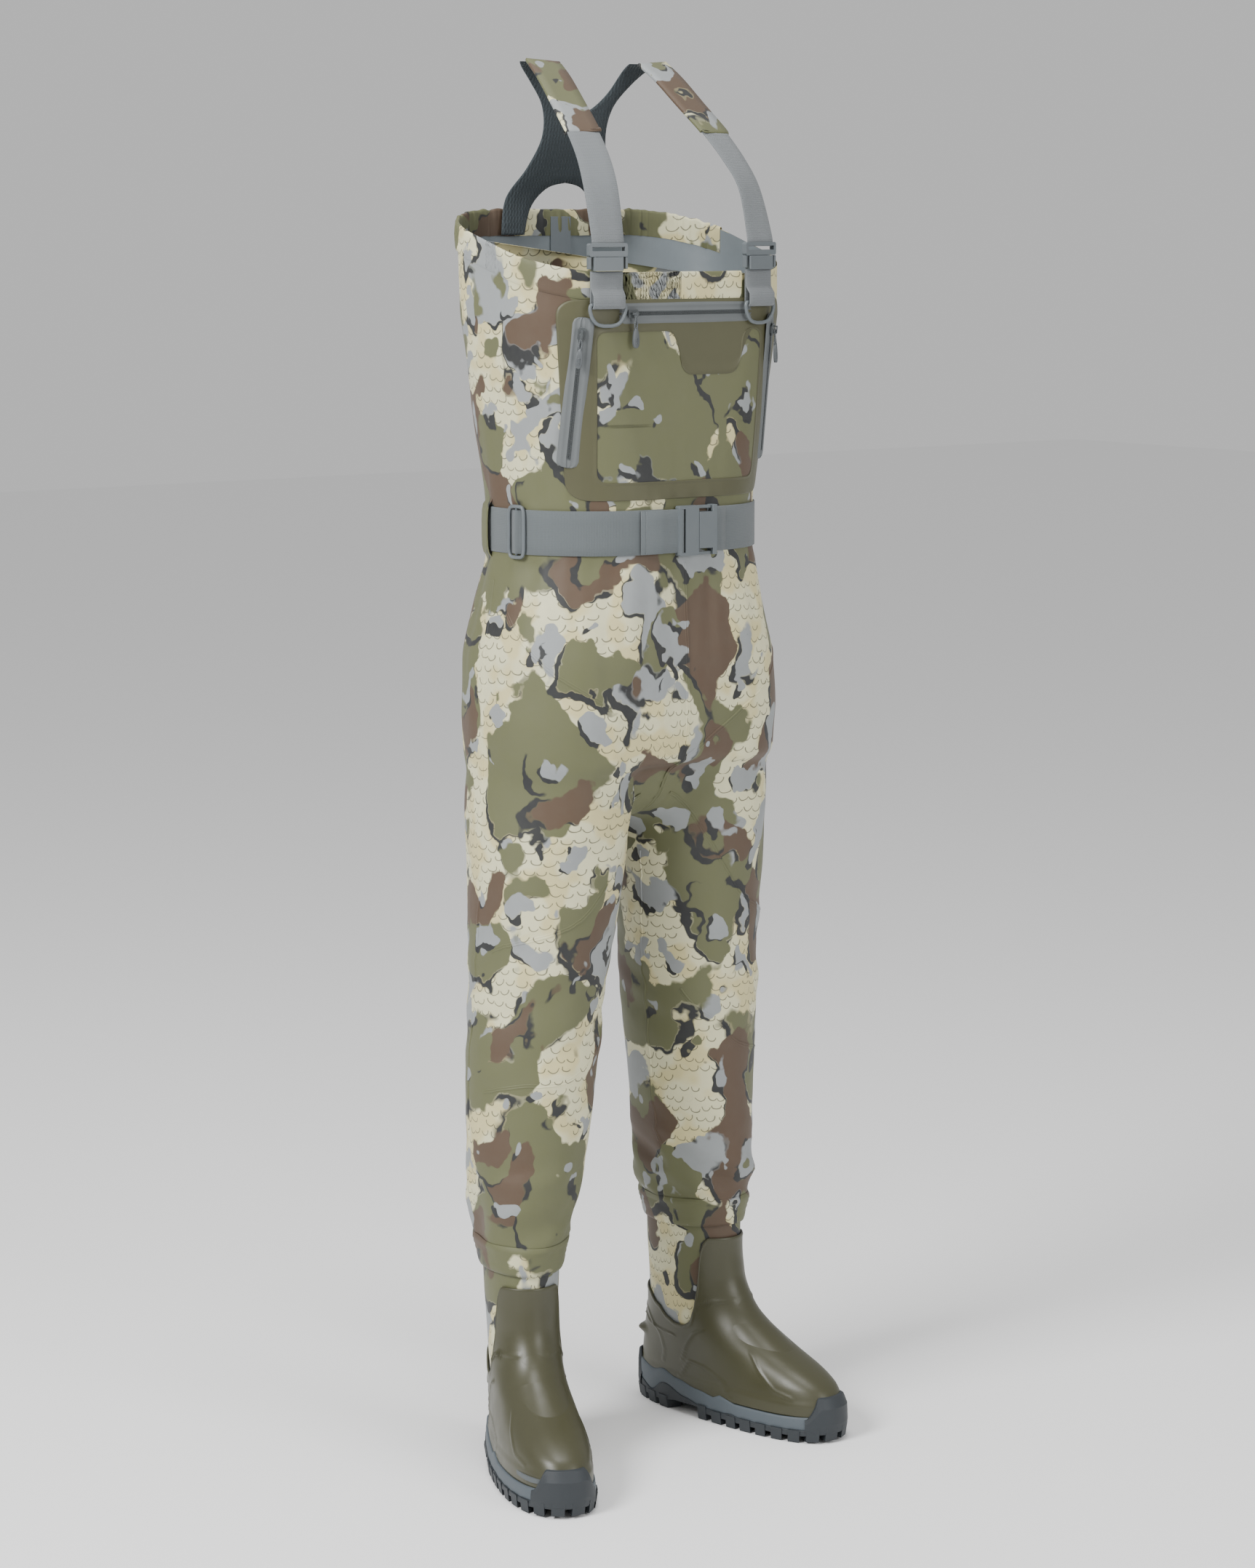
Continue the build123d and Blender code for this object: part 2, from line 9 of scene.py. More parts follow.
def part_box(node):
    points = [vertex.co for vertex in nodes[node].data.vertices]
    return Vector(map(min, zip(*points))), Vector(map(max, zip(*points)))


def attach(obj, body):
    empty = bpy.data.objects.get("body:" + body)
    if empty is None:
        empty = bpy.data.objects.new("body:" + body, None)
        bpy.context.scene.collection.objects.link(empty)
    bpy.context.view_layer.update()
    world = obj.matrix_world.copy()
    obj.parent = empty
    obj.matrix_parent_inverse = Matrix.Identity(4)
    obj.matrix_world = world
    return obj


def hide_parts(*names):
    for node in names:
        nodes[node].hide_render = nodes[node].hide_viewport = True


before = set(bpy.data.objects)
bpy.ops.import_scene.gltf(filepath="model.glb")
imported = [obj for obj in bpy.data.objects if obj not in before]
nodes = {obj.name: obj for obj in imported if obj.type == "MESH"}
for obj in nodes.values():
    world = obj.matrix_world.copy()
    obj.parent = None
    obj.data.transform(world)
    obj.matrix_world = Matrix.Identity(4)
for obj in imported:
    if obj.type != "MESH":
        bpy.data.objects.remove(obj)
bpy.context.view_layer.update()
torsoLow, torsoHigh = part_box("torso_front")
middle = Vector(((torsoLow.x + torsoHigh.x) / 2, torsoLow.y + 0.126, 0.0))  # the garment's own centre line


def place(x, y, z):  # millimetres about the garment's centre line to metres in the row frame
    return Vector((x / 1000 + middle.x, y / 1000 + middle.y, z / 1000))


def local(p):
    return (p.x - middle.x) * 1000, (p.y - middle.y) * 1000, p.z * 1000


def ease(x, low, high):
    t = min(max((x - low) / (high - low), 0.0), 1.0)
    return t * t * (3 - 2 * t)


def srgb(text):
    out = []
    for i in (0, 2, 4):
        c = int(text[i : i + 2], 16) / 255
        out.append(c / 12.92 if c <= 0.04045 else ((c + 0.055) / 1.055) ** 2.4)
    return (*out, 1.0)


class Graph:
    def __init__(self, name):
        self.mat = bpy.data.materials.new(name)
        self.mat.use_nodes = True
        self.tree = self.mat.node_tree
        self.shader = self.tree.nodes["Principled BSDF"]
        self.coords = self.add("ShaderNodeTexCoord").outputs["Object"]

    def add(self, kind, ins=None, **props):
        made = self.tree.nodes.new(kind)
        for key, value in props.items():
            setattr(made, key, value)
        for key, value in (ins or {}).items():
            socket = made.inputs[key]
            if isinstance(value, bpy.types.NodeSocket):
                self.tree.links.new(value, socket)
            else:
                socket.default_value = value
        return made

    def math(self, kind, a, b=0.0, c=0.0, clamp=False):
        return self.add("ShaderNodeMath", {0: a, 1: b, 2: c}, operation=kind, use_clamp=clamp).outputs[0]

    def vec(self, kind, a, b=(0, 0, 0)):
        return self.add("ShaderNodeVectorMath", {0: a, 1: b}, operation=kind).outputs[0]

    def scaled(self, a, size):
        return self.vec("MULTIPLY", a, size)

    def noise(self, where, scale, detail=1.0, rough=0.5, out=0):
        ins = {"Vector": where, "Scale": scale, "Detail": detail, "Roughness": rough}
        return self.add("ShaderNodeTexNoise", ins).outputs[out]

    def over(self, value, level, soft=0.006):
        ins = {0: value, 1: level - soft, 2: level + soft}
        return self.add("ShaderNodeMapRange", ins, clamp=True).outputs[0]

    def mix(self, share, a, b):
        made = self.add("ShaderNodeMix", data_type="RGBA")
        for key, value in ((0, share), (6, a), (7, b)):
            if isinstance(value, bpy.types.NodeSocket):
                self.tree.links.new(value, made.inputs[key])
            else:
                made.inputs[key].default_value = value
        return made.outputs[2]

    def split(self, a):
        return self.add("ShaderNodeSeparateXYZ", {0: a}).outputs

    def uv(self):
        return self.add("ShaderNodeUVMap", uv_map="cloth").outputs[0]

    def bump(self, height, strength, distance, under=None):
        ins = {"Height": height, "Strength": strength, "Distance": distance}
        if under is not None:
            ins["Normal"] = under
        return self.add("ShaderNodeBump", ins).outputs[0]

    def finish(self, colour=None, rough=0.6, normal=None, sheen=0.0, metal=0.0):
        for key, value in (("Base Color", colour), ("Roughness", rough), ("Normal", normal), ("Metallic", metal)):
            if value is None:
                continue
            if isinstance(value, bpy.types.NodeSocket):
                self.tree.links.new(value, self.shader.inputs[key])
            else:
                self.shader.inputs[key].default_value = value
        self.shader.inputs["Sheen Weight"].default_value = sheen
        return self.mat


camoLook = {
    "olive": srgb("585a3a"), "brown": srgb("4c3a29"), "cream": srgb("cbc8a4"), "straw": srgb("c0b47e"),
    "grey": srgb("878b8c"), "ink": srgb("15171a"), "mark": srgb("4c4a38"),
}


def camouflage(g, ground, uv):
    look = camoLook
    warp = g.vec("SUBTRACT", g.noise(ground, 13.0, 1.0, out=1), (0.5, 0.5, 0.5))
    fine = g.vec("SUBTRACT", g.noise(ground, 60.0, 1.5, out=1), (0.5, 0.5, 0.5))
    swirl = g.vec("ADD", g.vec("ADD", ground, g.scaled(warp, (0.05, 0.05, 0.06))), g.scaled(fine, (0.017,) * 3))
    swirl = g.scaled(swirl, (1.0, 1.0, 0.82))
    inkShift = g.scaled((0.0055, -0.003, 0.005), (1, 1, 1))

    def blobs(scale, level, seed, thick):
        here = g.noise(g.vec("ADD", swirl, (seed, seed * 0.7, seed * 1.3)), scale, 1.2, 0.45)
        there = g.noise(g.vec("ADD", g.vec("ADD", swirl, inkShift), (seed, seed * 0.7, seed * 1.3)), scale, 1.2, 0.45)
        some = g.noise(g.vec("ADD", ground, (seed * 3.1, 0, 0)), 16.0, 0.5)
        edge = g.math("ADD", there, g.math("MULTIPLY", g.math("SUBTRACT", some, 0.5), thick))
        mask = g.over(here, level)
        shade = g.math("MULTIPLY", g.over(edge, level + 0.008), g.math("SUBTRACT", 1.0, mask))
        return mask, shade

    straw = g.over(g.noise(ground, 26.0, 1.0), 0.53, 0.05)
    colour = g.mix(g.math("MULTIPLY", straw, 0.75), look["cream"], look["straw"])
    u, v, _ = g.split(uv)
    row = g.math("FLOOR", g.math("DIVIDE", v, 0.0125))
    shift = g.math("MULTIPLY", g.math("MODULO", g.math("ABSOLUTE", row), 2.0), 0.5)
    a = g.math("ADD", g.math("DIVIDE", u, 0.0135), shift)
    column = g.math("FLOOR", a)
    cell = g.add("ShaderNodeCombineXYZ", {0: column, 1: row, 2: 0.0}).outputs[0]
    jitter = g.add("ShaderNodeTexWhiteNoise", {"Vector": cell}, noise_dimensions="3D")
    jx, jy, jz = g.split(jitter.outputs["Color"])
    wob = g.split(g.noise(uv, 90.0, 0.0, out=1))
    fx = g.math(
        "ADD", g.math("SUBTRACT", g.math("FRACT", a), g.math("MULTIPLY_ADD", jx, 0.3, 0.35)),
        g.math("MULTIPLY_ADD", wob[0], 0.3, -0.15),
    )
    fy = g.math("SUBTRACT", g.math("FRACT", g.math("DIVIDE", v, 0.0125)), g.math("MULTIPLY_ADD", jy, 0.25, 0.5))
    fy = g.math("ADD", fy, g.math("MULTIPLY_ADD", wob[1], 0.3, -0.15))
    far = g.math("SQRT", g.math("ADD", g.math("MULTIPLY", fx, fx), g.math("MULTIPLY", fy, fy)))
    ring = g.math("ABSOLUTE", g.math("SUBTRACT", far, g.math("MULTIPLY_ADD", jz, 0.1, 0.36)))
    line = g.math("SUBTRACT", 1.0, g.over(ring, 0.045, 0.02))
    line = g.math(
        "MULTIPLY", line,
        g.over(g.math("ADD", fy, g.math("MULTIPLY", fx, g.math("SUBTRACT", jx, 0.6))), -0.02, -0.03),
    )
    line = g.math("MULTIPLY", line, g.over(jitter.outputs["Value"], 0.12, 0.01))
    colour = g.mix(g.math("MULTIPLY", line, 0.85), colour, look["mark"])
    grey, greyInk = blobs(16.0, 0.59, 31.0, 0.12)
    brown, brownInk = blobs(13.0, 0.59, 13.0, 0.14)
    olive, oliveInk = blobs(9.0, 0.53, 5.0, 0.16)
    cover, coverInk = blobs(15.0, 0.61, 77.0, 0.12)
    small, smallInk = blobs(26.0, 0.65, 57.0, 0.08)
    for mask, ink, tone in (
        (grey, greyInk, "grey"), (
            olive, oliveInk, "olive",
        ), (brown, brownInk, "brown"), (cover, coverInk, "olive"), (small, smallInk, "grey"),
    ):
        colour = g.mix(ink, colour, look["ink"])
        colour = g.mix(mask, colour, look[tone])
    return colour


def clothMaterial(name):
    g = Graph(name)
    colour = camouflage(g, g.coords, g.uv())
    soil = g.noise(g.coords, 55.0, 4.0, 0.6)
    colour = g.mix(g.math("MULTIPLY", g.over(soil, 0.5, 0.25), 0.12), colour, (0.10, 0.10, 0.075, 1))
    crease = g.bump(g.noise(g.coords, 24.0, 3.0, 0.55), 0.22, 0.004)
    normal = g.bump(g.noise(g.coords, 900.0, 1.0), 0.12, 0.0003, crease)
    return g.finish(colour, 0.62, normal, sheen=0.06)


def plainMaterial(name, tone, rough, grain=400.0, depth=0.0002, spread=0.12, metal=0.0, sheen=0.0, strength=0.2):
    g = Graph(name)
    patch = g.noise(g.coords, 30.0, 3.0, 0.6)
    dark = tuple(c * (1 - spread) for c in tone[:3]) + (1.0,)
    light = tuple(min(c * (1 + spread), 1.0) for c in tone[:3]) + (1.0,)
    colour = g.mix(patch, dark, light)
    rougher = g.math("MULTIPLY_ADD", g.noise(g.coords, 45.0, 2.0), 0.16, rough - 0.08)
    normal = g.bump(g.noise(g.coords, grain, 2.0), strength, depth)
    return g.finish(colour, rougher, normal, sheen=sheen, metal=metal)


def webbingMaterial(name, tone, pitch, across, depth=0.0006):
    g = Graph(name)
    u, v, _ = g.split(g.uv())
    run, side = (u, v) if across else (v, u)
    ribs = g.math("SINE", g.math("MULTIPLY", run, 6.283 / pitch))
    rows = g.math("SINE", g.math("MULTIPLY", side, 6.283 / (pitch * 1.7)))
    height = g.math("ADD", g.math("MULTIPLY", ribs, 0.6), g.math("MULTIPLY", g.math("MULTIPLY", ribs, rows), 0.5))
    fuzz = g.noise(g.coords, 700.0, 2.0)
    height = g.math("ADD", height, g.math("MULTIPLY", fuzz, 0.8))
    # painted shade and highlight: the colour follows the weave's bump height, darker in the grooves and lighter on
    # the ribs, with some random fuzz
    weaveShadeAndHighlight = g.math("MULTIPLY_ADD", height, 0.18, 0.42, clamp=True)
    dark = tuple(c * 0.62 for c in tone[:3]) + (1.0,)
    light = tuple(min(c * 1.35, 1.0) for c in tone[:3]) + (1.0,)
    return g.finish(g.mix(weaveShadeAndHighlight, dark, light), 0.85, g.bump(height, 0.45, depth), sheen=0.15)


camoMat = clothMaterial("camouflage_cloth")
panelMat = plainMaterial("bonded_olive", srgb("46452c"), 0.5, 120.0, 0.0006, 0.07, sheen=0.05, strength=0.12)
liningMat = plainMaterial("grey_lining", srgb("6d7579"), 0.55, 40.0, 0.003, 0.08, strength=0.25)
tapeMat = plainMaterial("zip_tape_cloth", srgb("5b5f60"), 0.6, 600.0, 0.0002, 0.1)
teethMat = plainMaterial("zip_coil", srgb("45494a"), 0.4, 300.0, 0.0001, 0.1)
pullMat = plainMaterial("pull_rubber", srgb("4b4f51"), 0.45, 300.0, 0.0002, 0.1)
buckleMat = plainMaterial("buckle_acetal", srgb("5a6063"), 0.42, 500.0, 0.00015, 0.06)
strapMat = webbingMaterial("strap_webbing", srgb("6a6e70"), 0.0014, False)
beltMat = webbingMaterial("belt_webbing", srgb("575d5f"), 0.0011, False)
meshMat = webbingMaterial("yoke_mesh", srgb("30383c"), 0.0042, True, 0.0012)
rubberMat = plainMaterial("boot_rubber", srgb("3b3a26"), 0.4, 260.0, 0.0003, 0.06, strength=0.15)
midMat = plainMaterial("midsole_foam", srgb("4a5258"), 0.6, 300.0, 0.0003, 0.06)
outMat = plainMaterial("outsole_rubber", srgb("262b2f"), 0.6, 300.0, 0.0003, 0.08)
insoleMat = plainMaterial("insole_foam", srgb("53585a"), 0.8, 300.0, 0.0004, 0.1)
print("materials done")


def settle(bm, name, mat, body, stands=(), smooth=True, bevel=0.0, segments=2, subdivide=0):
    bmesh.ops.remove_doubles(bm, verts=bm.verts[:], dist=1e-6)
    bmesh.ops.recalc_face_normals(bm, faces=bm.faces[:])
    return wrap(bm, name, mat, body, stands, smooth, bevel, segments, subdivide)


def wrap(bm, name, mat, body, stands=(), smooth=True, bevel=0.0, segments=2, subdivide=0):
    mesh = bpy.data.meshes.new(name)
    for face in bm.faces:
        face.smooth = smooth
    bm.to_mesh(mesh)
    bm.free()
    obj = bpy.data.objects.new(name, mesh)
    bpy.context.scene.collection.objects.link(obj)
    mesh.materials.append(mat)
    if bevel:
        mod = obj.modifiers.new("edges", "BEVEL")
        mod.width, mod.segments, mod.limit_method, mod.angle_limit = bevel, segments, "ANGLE", 0.6
        mod.harden_normals = False
    if subdivide:
        mod = obj.modifiers.new("round", "SUBSURF")
        mod.levels = mod.render_levels = subdivide
    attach(obj, body)
    if stands:
        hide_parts(*stands)
    return obj


# a sheet through a list of rings, each a list of points in metres; closed rings make a tube
def loops(rings, closed=True, caps=()):
    bm = bmesh.new()
    count = len(rings[0])
    row = count + 1 if closed else count
    verts = bmesh.ops.create_grid(bm, x_segments=row - 1, y_segments=len(rings) - 1, size=1.0)["verts"]
    for j, ring in enumerate(rings):
        for i in range(row):
            verts[j * row + i].co = ring[i % count]
    if closed:
        bmesh.ops.weld_verts(bm, targetmap={verts[j * row + count]: verts[j * row] for j in range(len(rings))})
    for j in caps:  # rows to close with a face
        end = verts[(j % len(rings)) * row :][:count]
        bmesh.ops.edgeloop_fill(bm, edges=[bm.edges.get((a, b)) for a, b in zip(end, end[1:] + end[:1])])
    return bm


def writeUv(bm, where):
    layer = bm.loops.layers.uv.new("cloth")
    for face in bm.faces:
        centre = face.calc_center_median()
        for loop in face.loops:
            loop[layer].uv = where(loop.vert.co, centre)


torsoRings = [
    (1470.0, 183.0, 115.0, 88.0), (1310.0, 183.0, 115.0, 88.0), (
        1106.0, 160.0, 118.0, 115.0,
    ), (1038.0, 160.0, 118.0, 115.0),
    (
        990.0, 171.0, 122.0, 112.0,
    ), (930.0, 185.0, 126.0, 114.0), (860.0, 189.0, 124.0, 112.0), (805.0, 187.0, 116.0, 104.0),
]
legRings = [
    (872.0, 86.0, 108.0, 0.0), (
        800.0, 91.0, 105.0, 0.08,
    ), (740.0, 91.0, 101.0, 0.17), (650.0, 85.0, 93.0, 0.34), (560.0, 80.0, 87.0, 0.50),
    (
        480.0, 76.0, 82.0, 0.64,
    ), (400.0, 71.0, 78.0, 0.78), (310.0, 63.0, 75.0, 0.94), (258.0, 52.0, 71.0, 1.0), (232.0, 46.2, 66.2, 1.0),
]
boots = {-1: (-151.0, -12.0, -25.0), 1: (138.0, 36.0, 12.0)}
rimFront, rimBack, beltMid = 1358.0, 1426.0, 1072.0
beltWide = 50.0


def sampled(rings, z):
    for high, low in zip(rings, rings[1:]):
        if z >= low[0]:
            t = min(max((z - low[0]) / (high[0] - low[0]), 0.0), 1.0)
            return [b + (a - b) * t for a, b in zip(high[1:], low[1:])]
    return list(rings[-1][1:])


# a point on the torso and its outward direction; q runs 0 to 4 from the front, by the wearer's right
def torsoPoint(z, q):
    w, d, r = sampled(torsoRings, z)
    part, f = int(q) % 4, q - math.floor(q)
    sx, sy = ((-1, -1), (-1, 1), (1, 1), (1, -1))[part]
    if part in (1, 3):
        f = 1 - f
    if f < 0.25:
        x, y, nx, ny = (w - r) * f / 0.25, d, 0.0, 1.0
    elif f < 0.88:
        a = (f - 0.25) / 0.63 * math.pi / 2
        nx, ny = math.sin(a), math.cos(a)
        x, y = w - r + r * nx, d - r + r * ny
    else:
        x, y, nx, ny = w, (d - r) * (1 - (f - 0.88) / 0.12), 1.0, 0.0
    return sx * x, sy * y, sx * nx, sy * ny


def legAxis(side, share):
    end = boots[side]
    return side * 92.0 + (end[0] - side * 92.0) * share, 3.0 + (end[1] - 3.0) * share, math.radians(end[2] * share)


def legPoint(side, z, b, grow=0.0):
    w, d, share = sampled(legRings, z)
    x, y, turn = legAxis(side, share)
    a = b - turn
    across, along = math.sin(a) * (w + grow), -math.cos(a) * (d + grow)
    return x + across * math.cos(turn) - along * math.sin(turn), y + across * math.sin(turn) + along * math.cos(turn)


def rimHeight(y):
    return (rimFront + rimBack) / 2 + y / 115.0 * (rimBack - rimFront) / 2


def torsoFolds(x, y, z):
    u = math.atan2(x, -y) * 150.0
    calm = ease(-y, 55, 95) * ease(z, 1082, 1122)
    streak = noise.noise(Vector((
        u / 30.0, z / 190.0, 3.0,
    ))) * 5.0 + noise.noise(Vector((u / 15.0, z / 120.0, 9.0))) * 3.0
    near = math.exp(-max(z - 1094.0, 0.0) / 75.0) if z > beltMid else math.exp(-max(1050.0 - z, 0.0) / 120.0)
    slow = noise.noise(Vector((u / 90.0 + z / 210.0, z / 130.0, 21.0))) * 4.0
    band = ease(abs(z - beltMid), 20, 40)
    amount = streak * near * band + slow * (0.35 + 0.65 * ease(abs(z - beltMid), 20, 90))
    return amount * (1 - 0.93 * calm)


def legFolds(side, x, y, z):
    share = sampled(legRings, z)[2]
    cx, cy, turn = legAxis(side, share)
    b = math.atan2(x - cx, -(y - cy))
    u = b * 72.0
    out = noise.noise(Vector((u / 75.0 + z / 260.0, z / 170.0, 31.0 + side))) * 4.0
    knee = math.exp(-(((z - 545.0) / 90.0) ** 2))
    ankle = ease(400 - z, 0, 90) * ease(z, 248, 270)
    tilt = z + 0.35 * u * side
    roll = noise.noise(Vector((u / 95.0, tilt / 30.0, 41.0 + side * 3)))
    ridge = 1 - 2 * abs(noise.noise(Vector((u / 80.0, tilt / 46.0, 51.0 + side * 3))))
    out += knee * roll * 4.0 + ankle * (roll * 6.0 + ridge * 4.5 - 2.0)
    thigh = ease(z, 640, 720) * ease(880 - z, 0, 60)
    out += thigh * noise.noise(Vector(((u - z * 0.5) / 42.0, (z + u) / 160.0, 61.0))) * 4.0
    return out * ease(z, 236, 262)


def cloth(x, y, z):
    if z > 850:
        return torsoFolds(x, y, z)
    side = -1 if x < 0 else 1
    share = ease(850 - z, 0, 70)
    return torsoFolds(x, y, z) * (1 - share) + legFolds(side, x, y, z) * share


def garmentUv(co, centre):
    x, y, z = local(co)
    cx, cy, cz = local(centre)
    if cz > 800:
        angle = math.atan2(x, -y)
        around = math.atan2(cx, -cy)
        if abs(angle - around) > math.pi:
            angle += math.copysign(2 * math.pi, around)
        return angle * 0.155, z / 1000
    side = -1 if cx < 0 else 1
    ax, ay, turn = legAxis(side, sampled(legRings, cz)[2])
    angle, around = math.atan2(x - ax, -(y - ay)), math.atan2(cx - ax, -(cy - ay))
    if abs(angle - around) > math.pi:
        angle += math.copysign(2 * math.pi, around)
    return angle * 0.08 + side, z / 1000


def closedTorso():
    count = 120
    heights = [805, 820, 840, 860, 895, 930, 960, 990, 1014, 1038, 1072, 1106, 1170, 1240, 1310, 1390, 1470]
    rings = []
    for z in heights:
        rings.append([place(*torsoPoint(z, 4 * k / count)[:2], z) for k in range(count)])
    return loops(rings, caps=(0, -1))


def closedLeg(side):
    count = 72
    heights = [200, 232, 245, 258, 284, 310, 355, 400, 440, 480, 520, 560, 605, 650, 695, 740, 770, 800, 836, 872]
    rings = []
    for z in heights:
        rings.append([place(*legPoint(side, max(z, 232), 2 * math.pi * k / count), z) for k in range(count)])
    return loops(rings, caps=(0, -1))


def joined(parts, name):
    mesh = bpy.data.meshes.new(name)
    whole = bmesh.new()
    for bm in parts:
        bmesh.ops.recalc_face_normals(bm, faces=bm.faces[:])
        bm.to_mesh(mesh)
        bm.free()
        whole.from_mesh(mesh)
    bpy.data.meshes.remove(mesh)
    return whole


skinSpec = {"voxel": 0.0055, "relax": 6}
rough = bpy.data.meshes.new("garment_form")


# the cloth hanging slack between the thighs
def gusset():
    rings = []
    for z, w, d in ((850, 84, 96), (810, 80, 94), (785, 66, 88), (765, 48, 78), (748, 28, 60), (740, 10, 36)):
        rings.append([place(
            4 + w * math.sin(2 * math.pi * k / 48), 5 - d * math.cos(2 * math.pi * k / 48), z,
        ) for k in range(48)])
    return loops(rings, caps=(0, -1))


bm = joined([closedTorso(), closedLeg(-1), closedLeg(1), gusset()], "garment_form")
bm.to_mesh(rough)
bm.free()
form = bpy.data.objects.new("garment_form", rough)
bpy.context.scene.collection.objects.link(form)
mod = form.modifiers.new("union", "REMESH")
mod.mode, mod.voxel_size = "VOXEL", skinSpec["voxel"]
bpy.context.view_layer.update()
whole = bpy.data.meshes.new_from_object(form.evaluated_get(bpy.context.evaluated_depsgraph_get()))
bpy.data.objects.remove(form)
bm = bmesh.new()
bm.from_mesh(whole)
bpy.data.meshes.remove(whole)
for _ in range(skinSpec["relax"]):
    bmesh.ops.smooth_vert(bm, verts=bm.verts[:], factor=0.5, use_axis_x=True, use_axis_y=True, use_axis_z=True)
crotchVerts = [v for v in bm.verts if 0.71 < v.co.z < 0.90 and abs(v.co.x - middle.x) < 0.09]
for _ in range(25):
    bmesh.ops.smooth_vert(bm, verts=crotchVerts, factor=0.5, use_axis_x=True, use_axis_y=True, use_axis_z=True)
bm.normal_update()
for v in bm.verts:
    x, y, z = local(v.co)
    n = v.normal.copy()
    v.co += n * (cloth(x, y, z) / 1000)
slope = math.atan((rimBack - rimFront) / 230.0)
cutUp = Vector((0, -math.sin(slope), math.cos(slope)))
everything = bm.verts[:] + bm.edges[:] + bm.faces[:]
bmesh.ops.bisect_plane(
    bm, geom=everything, plane_co=place(0, 0, (rimFront + rimBack) / 2 - 1.5), plane_no=cutUp, clear_outer=True,
)
everything = bm.verts[:] + bm.edges[:] + bm.faces[:]
bmesh.ops.bisect_plane(bm, geom=everything, plane_co=place(0, 0, 240), plane_no=(0, 0, -1), clear_outer=True)
print("skin faces", len(bm.faces))
inner = bm.copy()
writeUv(bm, garmentUv)
skin = wrap(
    bm, "camouflage_shell", camoMat, "waders",
    ("torso_front", "torso_back", "right_thigh", "left_thigh", "right_shin", "left_shin"),
)
inner.normal_update()
for v in inner.verts:
    v.co -= v.normal * 0.0014
bmesh.ops.bisect_plane(
    inner, geom=inner.verts[:] + inner.edges[:] + inner.faces[:], plane_co=place(0, 0, 700),
    plane_no=(0, 0, -1), clear_outer=True,
)
bmesh.ops.reverse_faces(inner, faces=inner.faces[:])
lining = wrap(inner, "inner_lining", liningMat, "waders", ())
print("garment skin done")


def onTorso(z, q, out):
    x, y, nx, ny = torsoPoint(z, q)
    push = torsoFolds(x, y, z) + out
    return place(x + nx * push, y + ny * push, z)


def hemBand(name, q0, q1, ruched, node):
    profile = [
        (0.4, 30), (1.3, 28.5), (1.5, 26), (1.5, 20), (1.8, 12), (1.9, 5), (1.7, 1), (1.0, -0.8), (-0.4, -1.3),
        (-1.6, -0.6), (-2.2, 2), (-2.3, 10), (-2.3, 22), (-2.0, 29),
    ]
    count = 420 if ruched else 260
    rings = []
    for out, down in profile:
        ring = []
        for k in range(count):
            t = k / (count - 1)
            q = q0 + (q1 - q0) * t
            _, y, _, _ = torsoPoint(1380, q)
            arc = t * (q1 - q0) * 190
            edge = ease(t, 0, 0.06) * ease(1 - t, 0, 0.06) if ruched else 0.0
            wave = noise.noise(Vector((
                arc / 3.6, down / 40, 5,
            ))) * 2.4 + noise.noise(Vector((arc / 9.0, down / 60, 8))) * 2.0
            puff = edge * wave * (0.5 + 0.5 * math.sin(math.pi * min(max(down / 27, 0), 1)))
            lift = edge * noise.noise(Vector((arc / 8.0, 0, 15))) * 2.2
            push = out + puff + edge * 0.8 if out > 0 else out + min(puff, 0.0)
            ring.append(onTorso(rimHeight(y) - down + lift * (1 - down / 40), q, push))
        rings.append(ring)
    bm = loops(rings, closed=False)
    writeUv(bm, garmentUv)
    return settle(bm, name, camoMat, "waders", (node,))


hemBand("front_hem", -1.22, 1.22, False, "rim_hem")
hemBand("back_elastic_hem", 1.2, 2.8, True, "rim_elastic")


# points (x, z) round a rounded trapezoid, evenly numbered from the bottom middle
def roundedOutline(half, low, high, halfTop, radius, count):
    corners = [(-half, low), (-halfTop, high), (halfTop, high), (half, low)]
    raw = []
    for i in range(4):
        p, c, n = Vector(corners[i - 1]), Vector(corners[i]), Vector(corners[(i + 1) % 4])
        a, b = (p - c).normalized(), (n - c).normalized()
        start, end = c + a * radius, c + b * radius
        for k in range(9):
            t = k / 8
            raw.append(start * (1 - t) ** 2 + c * 2 * t * (1 - t) + end * t * t)
    return resample(raw, count)


def resample(raw, count):
    total, marks = 0.0, [0.0]
    closed = raw + [raw[0]]
    for a, b in zip(closed, closed[1:]):
        total += (b - a).length
        marks.append(total)
    out, i = [], 0
    for k in range(count):
        want = total * k / count
        while marks[i + 1] < want:
            i += 1
        t = (want - marks[i]) / max(marks[i + 1] - marks[i], 1e-9)
        out.append(closed[i].lerp(closed[i + 1], t))
    return out


# a point over the front of the torso straight behind (x, z), pushed outwards
def chestSurface(x, z, out):
    w, d, r = sampled(torsoRings, z)
    flat = w - r
    if abs(x) <= flat:
        px, py, nx, ny = x, -d, 0.0, -1.0
    else:
        s = min((abs(x) - flat) / r, 0.995)
        c = math.sqrt(1 - s * s)
        px, py = math.copysign(flat + r * s, x), -(d - r + r * c)
        nx, ny = math.copysign(s, x), -c
    push = torsoFolds(px, py, z) + out
    return place(px + nx * push, py + ny * push, z)


# a sheet between two outlines over the chest; height gives the lift for a share 0 to 1
def patch(outer, inner, steps, height):
    rings = []
    for t in steps:
        rings.append([chestSurface(*(a.lerp(b, t)), height(t)) for a, b in zip(outer, inner)])
    return rings


